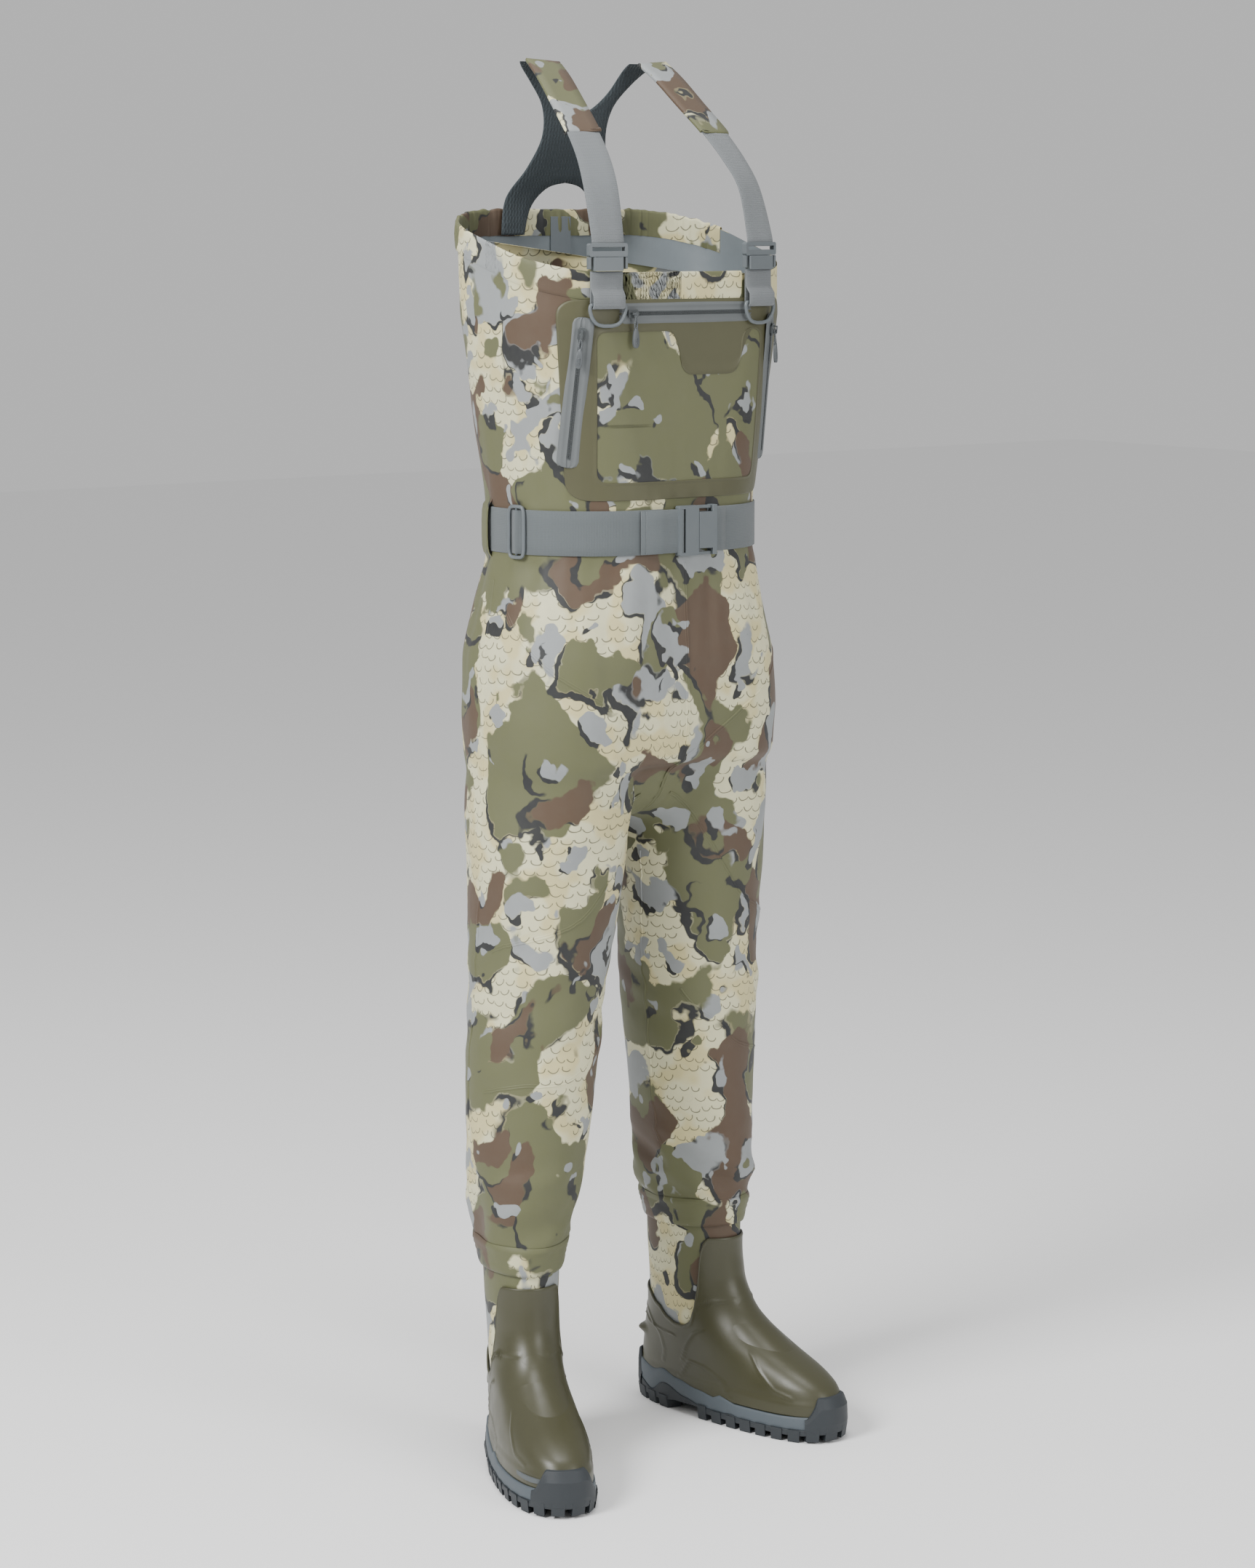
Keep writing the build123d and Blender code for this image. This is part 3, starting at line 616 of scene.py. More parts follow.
pocketSpec = {"low": 1108.0, "high": 1330.0, "half": 133.0, "halfTop": 158.0, "lift": 1.3}
frameOuter = roundedOutline(pocketSpec["half"], pocketSpec["low"], pocketSpec["high"], pocketSpec["halfTop"], 22, 360)
windowRaw = [Vector(p) for p in (
    (-108, 1128), (-116, 1294), (-20, 1294), (-10, 1289), (-6, 1276), (
        -1, 1252,
    ), (8, 1245), (66, 1245), (76, 1248), (81, 1258), (84, 1286), (90, 1294), (113, 1294), (108, 1128),
)]


def softened(points, radius):
    raw = []
    for i, c in enumerate(points):
        p, n = points[i - 1], points[(i + 1) % len(points)]
        reach = min(radius, (p - c).length / 2, (n - c).length / 2)
        a, b = c + (p - c).normalized() * reach, c + (n - c).normalized() * reach
        for k in range(7):
            t = k / 6
            raw.append(a * (1 - t) ** 2 + c * 2 * t * (1 - t) + b * t * t)
    return raw


# the same ring, begun at the point nearest a corner
def startedAt(ring, corner):
    first = min(range(len(ring)), key=lambda i: (ring[i] - corner).length)
    return ring[first:] + ring[:first]


windowOuter = resample(softened(windowRaw, 12), 360)
windowOuter = startedAt(windowOuter, Vector((-108, 1128)))
frameOuter = startedAt(frameOuter, Vector((-pocketSpec["half"], pocketSpec["low"])))
steps = [
    0, 0.004, 0.012, 0.05, 0.1, 0.18, 0.26, 0.34, 0.42, 0.5, 0.58, 0.66, 0.74, 0.82, 0.88, 0.92, 0.955, 0.98,
    0.992, 1,
]


def frameLift(t):
    edge = 0.2 + (pocketSpec["lift"] - 0.2) * ease(t, 0, 0.012)
    return edge + 0.5 * ease(t, 0.9, 0.93) - 0.5 * ease(t, 0.985, 1.0)


bm = loops(patch(frameOuter, windowOuter, steps, frameLift))
writeUv(bm, garmentUv)
settle(bm, "bonded_pocket_frame", panelMat, "waders", ("pocket_frame",))
innerRing = []
for p in windowOuter:  # upright lines to a slit half way up, so that no line crosses the notch
    lean = 1 + (0.074 if p.x < 0 else 0.046) * (p.y - 1128) / 166
    innerRing.append(Vector((p.x / lean * 0.96, 1190 + (p.y - 1190) * 0.02)))
shares = [0, 0.01, 0.03] + [0.06 + 0.94 * k / 28 for k in range(29)]
bm = loops(patch(windowOuter, innerRing, shares, lambda t: 1.0 + 0.2 * ease(t, 0, 0.02)), caps=(-1,))
writeUv(bm, garmentUv)
settle(bm, "camouflage_pocket_panel", camoMat, "waders", ("pocket_panel",))
print("pocket done")


def cornerPoint(z, angle, side):
    w, d, r = sampled(torsoRings, z)
    s, c = math.sin(math.radians(angle)), math.cos(math.radians(angle))
    return Vector((side * (w - r + r * s), -(d - r + r * c), z)), Vector((side * s, -c, 0))


# matrix whose Z runs from end to top and whose Y faces outwards, in metres
def zipFrame(top, end, outward):
    along = (top - end).normalized()
    out = (outward - along * outward.dot(along)).normalized()
    across = out.cross(along)
    m = Matrix((across, out, along)).transposed().to_4x4()
    m.translation = place(*end)
    return m, (top - end).length


zipFrames = {"chest_zip": zipFrame(Vector((-82, -116.15, 1314)), Vector((92, -116.15, 1314)), Vector((0, -1, 0)))}
for side, name in ((-1, "right_zip"), (1, "left_zip")):
    top, outTop = cornerPoint(1304, 25, side)
    end, outEnd = cornerPoint(1152, 46, side)
    outward = (outTop + outEnd).normalized()
    zipFrames[name] = zipFrame(top + outward * 2.6, end + outward * 2.6, outward)
zipBody = {"chest_zip": "chest", "right_zip": "right", "left_zip": "left"}


def movedBox(bm, low, high, m):
    size = [(b - a) / 1000 for a, b in zip(low, high)]
    centre = [(b + a) / 2000 for a, b in zip(low, high)]
    shape = Matrix.Translation(centre) @ Matrix.Diagonal((*size, 1.0))
    return bmesh.ops.create_cube(bm, size=1.0, matrix=m @ shape)["verts"]


# two cloth strips with a raised welded border round the slit
def zipTape(name, m, length):
    profile = [
        (-13.0, -1.2), (-12.2, -0.2), (-11, 0.25), (-9.5, 0.9), (-8.6, 1.15), (-7.6, 1.0), (-6.8, 0.75),
        (-3.5, 0.8), (-2.7, 1.25), (-2.3, 1.3), (-1.9, 0.6), (0, 0.45),
    ]
    profile += [(-x, y) for x, y in profile[-2::-1]]
    rings = []
    for z, shrink in [
        (-7, 0.1), (-6.2, 0.55), (-4.5, 0.85), (-2, 0.96), (1, 1.0), (length * 0.5, 1.0), (length - 1, 1.0),
        (length + 2, 0.96), (length + 4.5, 0.85), (length + 6.2, 0.55), (length + 7, 0.1),
    ]:
        deep = 0.0 if 0 < z < length else -0.3
        rings.append([m @ (Vector((x * shrink, y + deep - (1 - shrink) * 1.2, z)) / 1000) for x, y in profile])
    bm = loops(rings, closed=False)
    return settle(bm, name + "_cloth", tapeMat, "waders", (name + "_tape",))


def zipTeeth(name, m, length):
    bm = bmesh.new()
    pitch = 1.5
    for k in range(int((length - 6) / pitch)):
        z = 3 + k * pitch
        for side in (-1, 1):
            shift = 0.375 * pitch if side > 0 else 0.0
            movedBox(
                bm, (min(side * 0.1, side * 2.1), 0.9, z + shift),
                (max(side * 0.1, side * 2.1), 2.2, z + shift + 0.8), m,
            )
    bmesh.ops.bevel(bm, geom=bm.edges[:], offset=0.00022, segments=1, profile=0.5, affect="EDGES", material=-1)
    return settle(bm, name + "_coil", teethMat, "waders", (name + "_teeth",), smooth=False)


# a round tube through points in metres, its rings turned with the path
def tube(points, radius, segments, name, mat, body, stands=(), closed=False, taper=None):
    rings, count = [], len(points)
    normal = None
    for i, p in enumerate(points):
        a = points[i - 1] if closed or i else points[0]
        b = points[(i + 1) % count] if closed or i + 1 < count else points[-1]
        direction = (b - a).normalized()
        if normal is None:
            normal = direction.orthogonal().normalized()
        normal = (normal - direction * normal.dot(direction)).normalized()
        side = direction.cross(normal)
        r = radius if taper is None else radius * taper(i / (count - 1))
        rings.append([p + (normal * math.cos(2 * math.pi * k / segments) + side * math.sin(2 * math.pi * k / segments)) * r for k in range(segments)])
    if closed:
        rings.append(rings[0])
    bm = loops(rings, caps=() if closed else (0, -1))
    return settle(bm, name, mat, body, stands)


# a slider body, a beaded cord loop and a moulded tab with a ribbed grip
def zipPull(name, m, length):
    parked = length - 11
    pivotY = 4.1 + 3.4 + 0.5 if name == "chest_zip" else 4.1 + 1.7
    pivot = m @ Vector((0, pivotY / 1000, parked / 1000))
    hinge = Vector((1, 0, 0)) if name == "chest_zip" else (m.to_3x3() @ Vector((1, 0, 0)))
    up = (Vector((0, 0, 1)) - hinge * hinge.z).normalized()
    out = up.cross(hinge)
    turn = Matrix((hinge, out, up)).transposed().to_4x4()
    turn.translation = pivot
    bm = bmesh.new()
    for x, phase in ((-1.1, 0.0), (1.1, math.pi)):
        for k in range(8):
            z = -1.5 - k * 2.0
            twist = math.sin(k * 0.9 + phase) * 0.5
            spot = turn @ Matrix.Translation(Vector((
                x + twist, 0.3 * math.cos(k * 0.9 + phase), z,
            )) / 1000) @ Matrix.Diagonal((1.0, 0.9, 1.25, 1.0))
            bmesh.ops.create_uvsphere(bm, u_segments=10, v_segments=8, radius=0.00118, matrix=spot)
    for k in range(5):
        a = math.pi * k / 4
        spot = turn @ Matrix.Translation(Vector((1.4 * math.cos(a), 0, 0.6 * math.sin(a) - 0.4)) / 1000)
        bmesh.ops.create_uvsphere(bm, u_segments=10, v_segments=8, radius=0.0009, matrix=spot)
    outline = [(0.0, 1.6), (2.0, 2.2), (4.0, 2.9), (8.0, 3.7), (13.0, 4.2), (17.0, 4.0), (20.0, 3.0), (21.6, 1.4)]
    rings = []
    for depth, grow in ((-1.7, -0.9), (-1.5, -0.2), (-0.9, 0.0), (0.9, 0.0), (1.5, -0.2), (1.7, -0.9)):
        ring = []
        for z, half in outline:
            ring.append(Vector((half + grow, depth, -16.0 - z + (0.5 if grow < -0.5 and z > 10 else 0))))
        for z, half in outline[::-1]:
            ring.append(Vector((-(half + grow), depth, -16.0 - z + (0.5 if grow < -0.5 and z > 10 else 0))))
        rings.append([turn @ (p / 1000) for p in ring])
    tab = loops(rings, caps=(0, -1))
    for side in (-1, 1):
        for k in range(4):
            movedBox(
                tab, (-1.6, min(side * 1.5, side * 2.0), -27.5 - k * 1.9),
                (1.6, max(side * 1.5, side * 2.0), -26.6 - k * 1.9), turn,
            )
    bmesh.ops.recalc_face_normals(tab, faces=tab.faces[:])
    mesh = bpy.data.meshes.new("tab")
    tab.to_mesh(mesh)
    tab.free()
    bm.from_mesh(mesh)
    bpy.data.meshes.remove(mesh)
    settle(bm, name + "_cord_and_tab", pullMat, zipBody[name] + "_pull", (name + "_pull",))
    dress(nodes[name + "_slider"], teethMat, 0.0005)


# gives a CAD node its material and rounds its edges
def dress(node, mat, bevel=0.0, segments=2):
    node.data.materials.clear()
    node.data.materials.append(mat)
    for face in node.data.polygons:
        face.material_index = 0
        face.use_smooth = False
    if bevel:
        weld = node.modifiers.new("weld", "WELD")
        weld.merge_threshold = 0.00002
        mod = node.modifiers.new("edges", "BEVEL")
        mod.width, mod.segments, mod.limit_method, mod.angle_limit = bevel, segments, "ANGLE", 0.5
        mod.use_clamp_overlap = True
        mod.harden_normals = False


for name, (m, length) in zipFrames.items():
    zipTape(name, m, length)
    zipTeeth(name, m, length)
    zipPull(name, m, length)
print("zips done")


anchorX = 106.0
anchorTurn = math.asin((anchorX - 95.0) / 88.0)
anchorY = -27.0 - 88.0 * math.cos(anchorTurn)
barZ, barY = 1324.0, -6.2


def anchorFrame(side):
    m = Matrix.Rotation(side * anchorTurn, 4, "Z")
    m.translation = place(side * anchorX, anchorY, 0)
    return m


# a flat strap with rounded edges through (centre, across, outward) stations in metres
def strapMesh(stations, width, thick, name, mat, body, stands, soft=0.0004):
    rings, run = [], 0.0
    marks = []
    for i, (centre, across, out) in enumerate(stations):
        if i:
            run += (centre - stations[i - 1][0]).length
        marks.append(run)
        half, t = width / 2, thick / 2
        shape = [
            (-half, -t * 0.6), (-half + soft, -t), (-half * 0.5, -t), (0, -t), (half * 0.5, -t),
            (half - soft, -t), (half, -t * 0.6), (half, t * 0.6), (half - soft, t), (half * 0.5, t), (0, t),
            (-half * 0.5, t), (-half + soft, t), (-half, t * 0.6),
        ]
        rings.append([centre + across * a + out * b for a, b in shape])
    bm = loops(rings, caps=(0, -1))
    layer = bm.loops.layers.uv.new("cloth")
    bm.verts.ensure_lookup_table()
    count = len(rings[0])
    lookup = {}
    for i, ring in enumerate(rings):
        for k, p in enumerate(ring):
            centre, across, out = stations[i]
            lookup[bm.verts[i * count + k]] = ((p - centre).dot(across) + 0.1, marks[i])
    for face in bm.faces:
        for loop in face.loops:
            loop[layer].uv = lookup[loop.vert]
    bmesh.ops.recalc_face_normals(bm, faces=bm.faces[:])
    return wrap(bm, name, mat, body, stands)


# points along a smooth path through a few given ones (Catmull-Rom)
def curved(points, count):
    out = []
    n = len(points) - 1
    for k in range(count):
        s = k / (count - 1) * n
        i = min(int(s), n - 1)
        t = s - i
        p0, p1, p2, p3 = points[max(i - 1, 0)], points[i], points[i + 1], points[min(i + 2, n)]
        out.append(0.5 * ((2 * p1) + (p2 - p0) * t + (2 * p0 - 5 * p1 + 4 * p2 - p3) * t * t + (3 * p1 - p0 - 3 * p2 + p3) * t ** 3))
    return out


def sewnStrap(name, keys, side, count, width, thick, mat, body, stands):
    centres = curved([Vector(k[0]) for k in keys], count)
    acrosses = curved([Vector(k[1]) for k in keys], count)
    stations = []
    for i, c in enumerate(centres):
        along = (centres[min(i + 1, count - 1)] - centres[max(i - 1, 0)]).normalized()
        across = acrosses[i]
        across = (across - along * across.dot(along)).normalized()
        out = along.cross(across)
        c = Vector((c.x * side, c.y, c.z))
        across = Vector((across.x * side, across.y, across.z))
        out = Vector((out.x * side, out.y, out.z))
        stations.append((place(*c), across, out))
    return strapMesh(stations, width / 1000, thick / 1000, name, mat, body, stands)


sn, cs = math.sin(anchorTurn), math.cos(anchorTurn)
strapBase = (anchorX + 5.0 * sn, anchorY - 5.0 * cs)
elasticKeys = [
    ((*strapBase, 1386.5), (cs, sn, 0)), ((*strapBase, 1399), (cs, sn, 0)), ((104, -104, 1450.6), (0.96, 0.26, 0)),
    ((98, -82, 1484.4), (0.97, 0.2, 0)), ((92, -52, 1516.4), (0.98, 0.14, 0)),
]
shoulderKeys = [
    (
        (92.4, -55, 1512.3), (0.98, 0.14, 0),
    ), ((92, -51.5, 1516.9), (0.98, 0.14, 0)), ((86, -18, 1545.7), (0.98, 0.1, 0)),
    ((81, 14, 1573.1), (0.99, 0.06, 0)), ((77, 41, 1591.8), (1, 0, 0)),
]


# the D-ring's centre line: a straight bar and a rounded bow below it
def ringPath(m):
    bow = [Vector((x, 0, z)) for x, z in ((-21.5, 0), (-22.4, -4), (-21.6, -9), (-18.6, -15.5), (-13.5, -20.6), (-6, -22.7), (0, -22.9), (6, -22.7), (13.5, -20.6), (18.6, -15.5), (21.6, -9), (22.4, -4), (21.5, 0))]
    path = curved(bow, 60) + [Vector((x, 0, 0.0)) for x in (19, 10, 0, -10, -19)]
    return [m @ (Vector((p.x, p.y + barY, p.z + barZ)) / 1000) for p in path]


for side, name in ((-1, "right"), (1, "left")):
    m = anchorFrame(side)
    tube(
        ringPath(m), 0.0021, 14, name + "_ring_bow", buckleMat, name + "_ring", (name + "_d_ring",),
        closed=True,
    )
    path = [(-2.3, 1360.5), (-2.3, 1352), (-2.3, 1338), (-2.3, 1326)]
    for k in range(9):
        a = math.pi * k / 8
        path.append((barY + 3.9 * math.cos(a), barZ - 3.9 * math.sin(a)))
    path += [(-10.1, 1328), (-10.0, 1334), (-6.2, 1339), (-4.2, 1342), (-4.0, 1348), (-4.0, 1357), (-4.0, 1360.6)]
    stations = []
    for i, (y, z) in enumerate(path):
        y0, z0 = path[max(i - 1, 0)]
        y1, z1 = path[min(i + 1, len(path) - 1)]
        along = Vector((0, y1 - y0, z1 - z0)).normalized()
        out = Vector((1, 0, 0)).cross(along)
        stations.append((m @ (Vector((0, y, z)) / 1000), m.to_3x3() @ Vector((1, 0, 0)), m.to_3x3() @ out))
    strapMesh(
        stations, 0.040, 0.0014, name + "_sewn_webbing", strapMat, "waders", (name + "_anchor_webbing",),
    )
    sewnStrap(
        name + "_elastic", elasticKeys, side, 40, 40, 1.6, strapMat, "harness", (name + "_elastic_webbing",),
    )
    sewnStrap(
        name + "_strap_cover", shoulderKeys, side, 40, 44, 3.4, camoMat, "harness", (name + "_shoulder_strap",),
    )
    for part in ("buckle_socket", "buckle_tongue", "buckle_arm_right", "buckle_arm_left"):
        dress(nodes[f"{name}_{part}"], buckleMat, 0.0009 if "arm" not in part else 0.0007, 3)
print("rim hardware done")


yokeLine = [Vector((0, y, z)) for y, z in ((106.5, 1398), (106.5, 1436), (96.8, 1468.9), (84.6, 1505.5), (75.4, 1545.7), (66.6, 1574.9), (56, 1590.1), (40, 1594.6))]


def yokeDepth(z):
    path = yokeSamples
    for a, b in zip(path, path[1:]):
        if z <= b.z:
            t = (z - a.z) / max(b.z - a.z, 1e-6)
            return a.y + (b.y - a.y) * t
    return path[-1].y


yokeSamples = curved(yokeLine, 80)


# one quilted half swept up the back, then mirrored about the waist of the H
def yokePad():
    outer = [(86, 1398), (80, 1440), (58, 1474), (45, 1509.1), (50, 1542.0), (72, 1569.4), (97, 1591.4)]
    inner = [(54, 1398), (44, 1430), (24, 1451), (0, 1457.0), (0, 1536.0), (20, 1541.0), (42, 1562.0), (57, 1591.4)]
    sideLine = curved([Vector((x, 0, z)) for x, z in outer], 64)
    low = curved([Vector((x, 0, z)) for x, z in inner[:4]], 26)
    up = curved([Vector((x, 0, z)) for x, z in inner[4:]], 26)
    waist = [Vector((0, 0, 1457.0 + 79.0 * k / 13)) for k in range(1, 13)]
    rings = []
    for i, (a, b) in enumerate(zip(sideLine, low + waist + up)):
        sheets = []
        for front in (1, -1):
            sheet = []
            for j in range(15):
                p = a.lerp(b, j / 14)
                free = j if 25 <= i <= 38 else min(j, 14 - j)
                border = min(free * 3.4, i * 2.2 + 1.0, (63 - i) * 2.2 + 1.0)
                plump = 0.6 + 1.6 * ease(border, 5, 11) + 0.8 * ease(border, 0, 2.5)
                sheet.append(Vector((p.x, yokeDepth(p.z) - plump * front * 0.5, p.z)) / 1000)
            sheets.append(sheet)
        rings.append(sheets[0] + sheets[1][::-1])
    bm = loops(rings, caps=(0, -1))
    inside = [f for f in bm.faces if all(abs(v.co.x) < 1e-7 for v in f.verts)]
    bmesh.ops.delete(bm, geom=inside, context="FACES")
    bmesh.ops.mirror(bm, geom=bm.verts[:] + bm.edges[:] + bm.faces[:], axis="X", merge_dist=1e-6)
    bmesh.ops.translate(bm, verts=bm.verts[:], vec=place(-2, 0, 0))
    writeUv(bm, lambda co, c: (co.x, co.z))
    obj = settle(bm, "padded_yoke", meshMat, "harness", ("yoke",))


yokePad()
print("yoke done")


def waistPoint(q, out, z):
    x, y, nx, ny = torsoPoint(beltMid, q)
    return place(x + nx * out, y + ny * out, z), Vector((nx, ny, 0))


def beltStrip(name, q0, q1, out, mat, body, stands, count=160):
    stations = []
    for k in range(count):
        q = q0 + (q1 - q0) * k / (count - 1)
        p, n = waistPoint(q % 4, out, beltMid)
        stations.append((p, Vector((0, 0, 1)), n))
    return strapMesh(stations, beltWide / 1000, 0.0019, name, mat, body, stands, soft=0.0005)


beltStrip("belt_band", 0.166, 4 - 0.222, 1.35, beltMat, "waders", ("belt_strap",), count=240)
stations = []
beltFace = -118.4
for x, y in ((58, -2.9), (50, -3.2), (44, -4.9), (41, -5.4), (39.4, -6.4), (39.3, -7.4)):
    stations.append((place(x, beltFace + y + 0.4, beltMid), Vector((0, 0, 1)), Vector((0, -1, 0))))
strapMesh(stations, 0.0495, 0.0016, "belt_sewn_end", beltMat, "waders", ())
stations = []
for x, y in (
    (-62, -3.8), (-40, -3.8), (-14, -3.8), (-9.4, -4.2), (-8.2, -5.6), (-7.2, -8.0), (-7.6, -10.2),
    (-9.6, -9.6), (-12, -6.8), (-16, -5.8), (-30, -5.6), (-56, -5.6),
):
    stations.append((place(x, beltFace + y, beltMid), Vector((0, 0, 1)), Vector((0, -1, 0))))
strapMesh(
    stations, 0.0485, 0.0014, "belt_tongue_strap", beltMat, "belt_buckle_tongue", ("belt_tongue_webbing",),
)
for part in ("belt_socket", "belt_tongue", "belt_arm_upper", "belt_arm_lower"):
    dress(nodes[part], buckleMat, 0.001, 3)


# a point over the wearer's right side of the waist, angle in degrees from straight ahead
def wrapArc(angle, out, z):
    a = math.radians(angle)
    return place(-45.0 - (115.0 + out) * math.sin(a), -3.0 - (115.0 + out) * math.cos(a), z)


# the tri-glide: a rounded ring with a middle bar, and the webbing folded over that bar
def adjusterFrame():
    half = beltWide / 2 + 3.4
    path = []
    for k in range(24):
        t = k / 24 * 2 * math.pi
        ca, sa = math.cos(t), math.sin(t)
        u = math.copysign(abs(ca) ** 0.35, ca)
        v = math.copysign(abs(sa) ** 0.35, sa)
        path.append(wrapArc(79.5 + u * 5.4, 5.0, beltMid + v * half))
    tube(
        path, 0.0021, 12, "belt_adjuster_ring", buckleMat, "belt_adjuster", ("belt_slider",),
        closed=True,
    )
    bar = [wrapArc(79.5, 4.2, beltMid + v) for v in (-27, -14, 0, 14, 27)]
    tube(bar, 0.0016, 10, "belt_adjuster_bar", buckleMat, "belt_adjuster", ())
    stations = []
    for angle, out in (
        (75.2, 3.0), (76.4, 3.4), (77.8, 4.6), (78.8, 6.0), (79.6, 6.5), (80.4, 6.0), (81.2, 4.6), (82.4, 3.4),
        (83.6, 3.0),
    ):
        a = math.radians(angle)
        stations.append((wrapArc(angle, out, beltMid), Vector((0, 0, 1)), Vector((-math.sin(a), -math.cos(a), 0))))
    strapMesh(stations, 0.0485, 0.0015, "belt_adjuster_fold", beltMat, "belt_adjuster", ())


adjusterFrame()


# a cloth loop over the belt, sewn flat above and below it
def beltLoop(name, a0, a1, side, stands):
    stations = []
    for z, out in (
        (-51, 0.9), (-44, 0.9), (-36, 1.2), (-31, 3.4), (-27, 6.2), (-20, 7.6), (-8, 8.1), (8, 8.1), (20, 7.6),
        (27, 6.2), (31, 3.4), (36, 1.2), (44, 0.9), (51, 0.9),
    ):
        a = math.radians((a0 + a1) / 2)
        n = Vector((-math.sin(a) * side, -math.cos(a), 0))
        radius = 115.0 + out
        centre = place((-45.0 - radius * math.sin(a)) * side, -3.0 - radius * math.cos(a), beltMid + z)
        stations.append((centre, Vector((-n.y, n.x, 0)) * -1, n))
    return strapMesh(stations, 0.024, 0.0012, name, camoMat, "waders", stands)


beltLoop("right_belt_loop", 104, 116, 1, ("belt_loops",))
beltLoop("left_belt_loop", 104, 116, -1, ())
print("belt done")


bootRings = [
    (250.0, 8.0, 142.0, 47.0, 0.0), (195.0, 9.0, 142.0, 44.5, 0.0), (
        160.0, 11.0, 148.0, 42.5, 0.0,
    ), (128.0, 11.0, 168.0, 42.0, 0.0),
    (104.0, 9.0, 203.0, 42.0, 0.05), (
        86.0, 6.0, 244.0, 43.0, 0.10,
    ), (70.0, 3.0, 282.0, 45.0, 0.14), (52.0, 1.0, 300.0, 46.5, 0.16), (30.0, 2.0, 302.0, 46.0, 0.17),
]


def bootSection(z):
    total = [0.0] * 4
    for shift in (-9, -4.5, 0, 4.5, 9):
        part = sampled(bootRings, min(max(z + shift, 30), 250))
        total = [a + b / 5 for a, b in zip(total, part)]
    return total


# distance from the back of the heel and sideways place, the inner side positive
def bootOutline(z, a, grow):
    back, front, half, spread = bootSection(z)
    blunt = 1.0 - 0.14 * ease(front, 170, 230)
    c, s = math.cos(a), math.sin(a)
    c = math.copysign(abs(c) ** blunt, c)
    s = math.copysign(abs(s) ** blunt, s)
    along = (back + front) / 2 + ((front - back) / 2 + grow) * c
    across = (half * (1 + spread * c) + grow) * s
    across += 9.0 * ((along - 75) / 225.0) ** 2 * ease(front, 180, 240) if along > 75 else 0.0
    return along, across


def bootPlace(side, along, across, z):
    x0, y0, turn = boots[side]
    x, y, t = across * -side, 75.0 - along, math.radians(turn)
    return place(x0 + x * math.cos(t) - y * math.sin(t), y0 + x * math.sin(t) + y * math.cos(t), z)


bootLines = [
    [(96, 108), (104, 124), (118, 136), (134, 141), (152, 143)], [(92, 62), (98, 82), (110, 100), (126, 108)],
    [(90, 44), (104, 66), (128, 64), (160, 52), (172, 34)], [(2, 122), (26, 110), (52, 88), (60, 70), (58, 56)],
    [(4, 112), (30, 98), (54, 94), (78, 92)], [(196, 92), (214, 74), (238, 56), (262, 50)],
]


def lineDistance(p, line):
    best = 1e9
    for a, b in zip(line, line[1:]):
        ab = (b[0] - a[0], b[1] - a[1])
        t = ((p[0] - a[0]) * ab[0] + (p[1] - a[1]) * ab[1]) / (ab[0] ** 2 + ab[1] ** 2)
        t = min(max(t, 0), 1)
        best = min(best, math.hypot(p[0] - a[0] - ab[0] * t, p[1] - a[1] - ab[1] * t))
    return best


def shellRelief(along, across, z):
    out = 0.0
    for line in bootLines:
        d = lineDistance((along, z), line)
        if d < 6:
            out += 1.1 * math.exp(-((d / 1.5) ** 2))
    kick = ease(26 - along, 0, 16)
    out += kick * 8.0 * math.exp(-(((z - 84) / 4.5) ** 2)) + kick * 3.0 * math.exp(-(((z - 101) / 2.5) ** 2)) * (1 if abs(across) < 9 else 0)
    out += 1.2 * ease(50 - z, 0, 8)
    return out


def table(x, points):
    for a, b in zip(points, points[1:]):
        if x <= b[0]:
            t = ease(x, a[0], b[0])
            return a[1] + (b[1] - a[1]) * t
    return points[-1][1]


collar = [
    (-40, 152), (0, 147), (24, 138), (48, 124), (66, 112), (78, 107), (94, 106), (104, 112), (109, 126),
    (112, 150), (115, 196), (118, 210), (124, 216), (320, 216),
]


def shellTop(a):
    z = 100.0
    while z < 216 and z < table(bootOutline(z, a, 0)[0], collar):
        z += 0.5
    return z


def bootShell(side, name):
    count = 260
    angles = [2 * math.pi * j / count for j in range(count)]
    tops = [shellTop(a) for a in angles]
    for _ in range(3):
        tops = [(tops[j - 1] + 2 * tops[j] + tops[(j + 1) % count]) / 4 for j in range(count)]
    rings = []
    for k in range(86):
        t = k / 85
        ring = []
        for a, top in zip(angles, tops):
            z = 30 + (top - 30) * t
            along, across = bootOutline(z, a, 0)
            lip = 0.5 * math.exp(-((top - z - 2.2) / 1.6) ** 2)
            ring.append(bootPlace(side, *bootOutline(z, a, shellRelief(along, across, z) + lip), z))
        rings.append(ring)
    for grow, drop in ((-0.5, -0.7), (-1.6, -0.6), (-2.4, 0.4), (-2.6, 3)):
        rings.append([bootPlace(side, *bootOutline(top - drop, a, grow), top - drop) for a, top in zip(angles, tops)])
    for t in (0.9, 0.7, 0.5, 0.3, 0.1, 0.02):
        rings.append([bootPlace(side, *bootOutline(33 + (top - 33) * t, a, -2.6), 33 + (top - 33) * t) for a, top in zip(angles, tops)])
    bm = loops(rings, caps=(0, -1))
    x0, y0, turn = boots[side]
    t = math.radians(turn)

    def bootUv(co, c):
        x, y, z = local(co)
        dx, dy = x - x0, y - y0
        return 0.075 - (-dx * math.sin(t) + dy * math.cos(t)) / 1000, z / 1000

    writeUv(bm, bootUv)
    return settle(bm, name + "_rubber_shell", rubberMat, "waders", (name + "_boot_shell",))


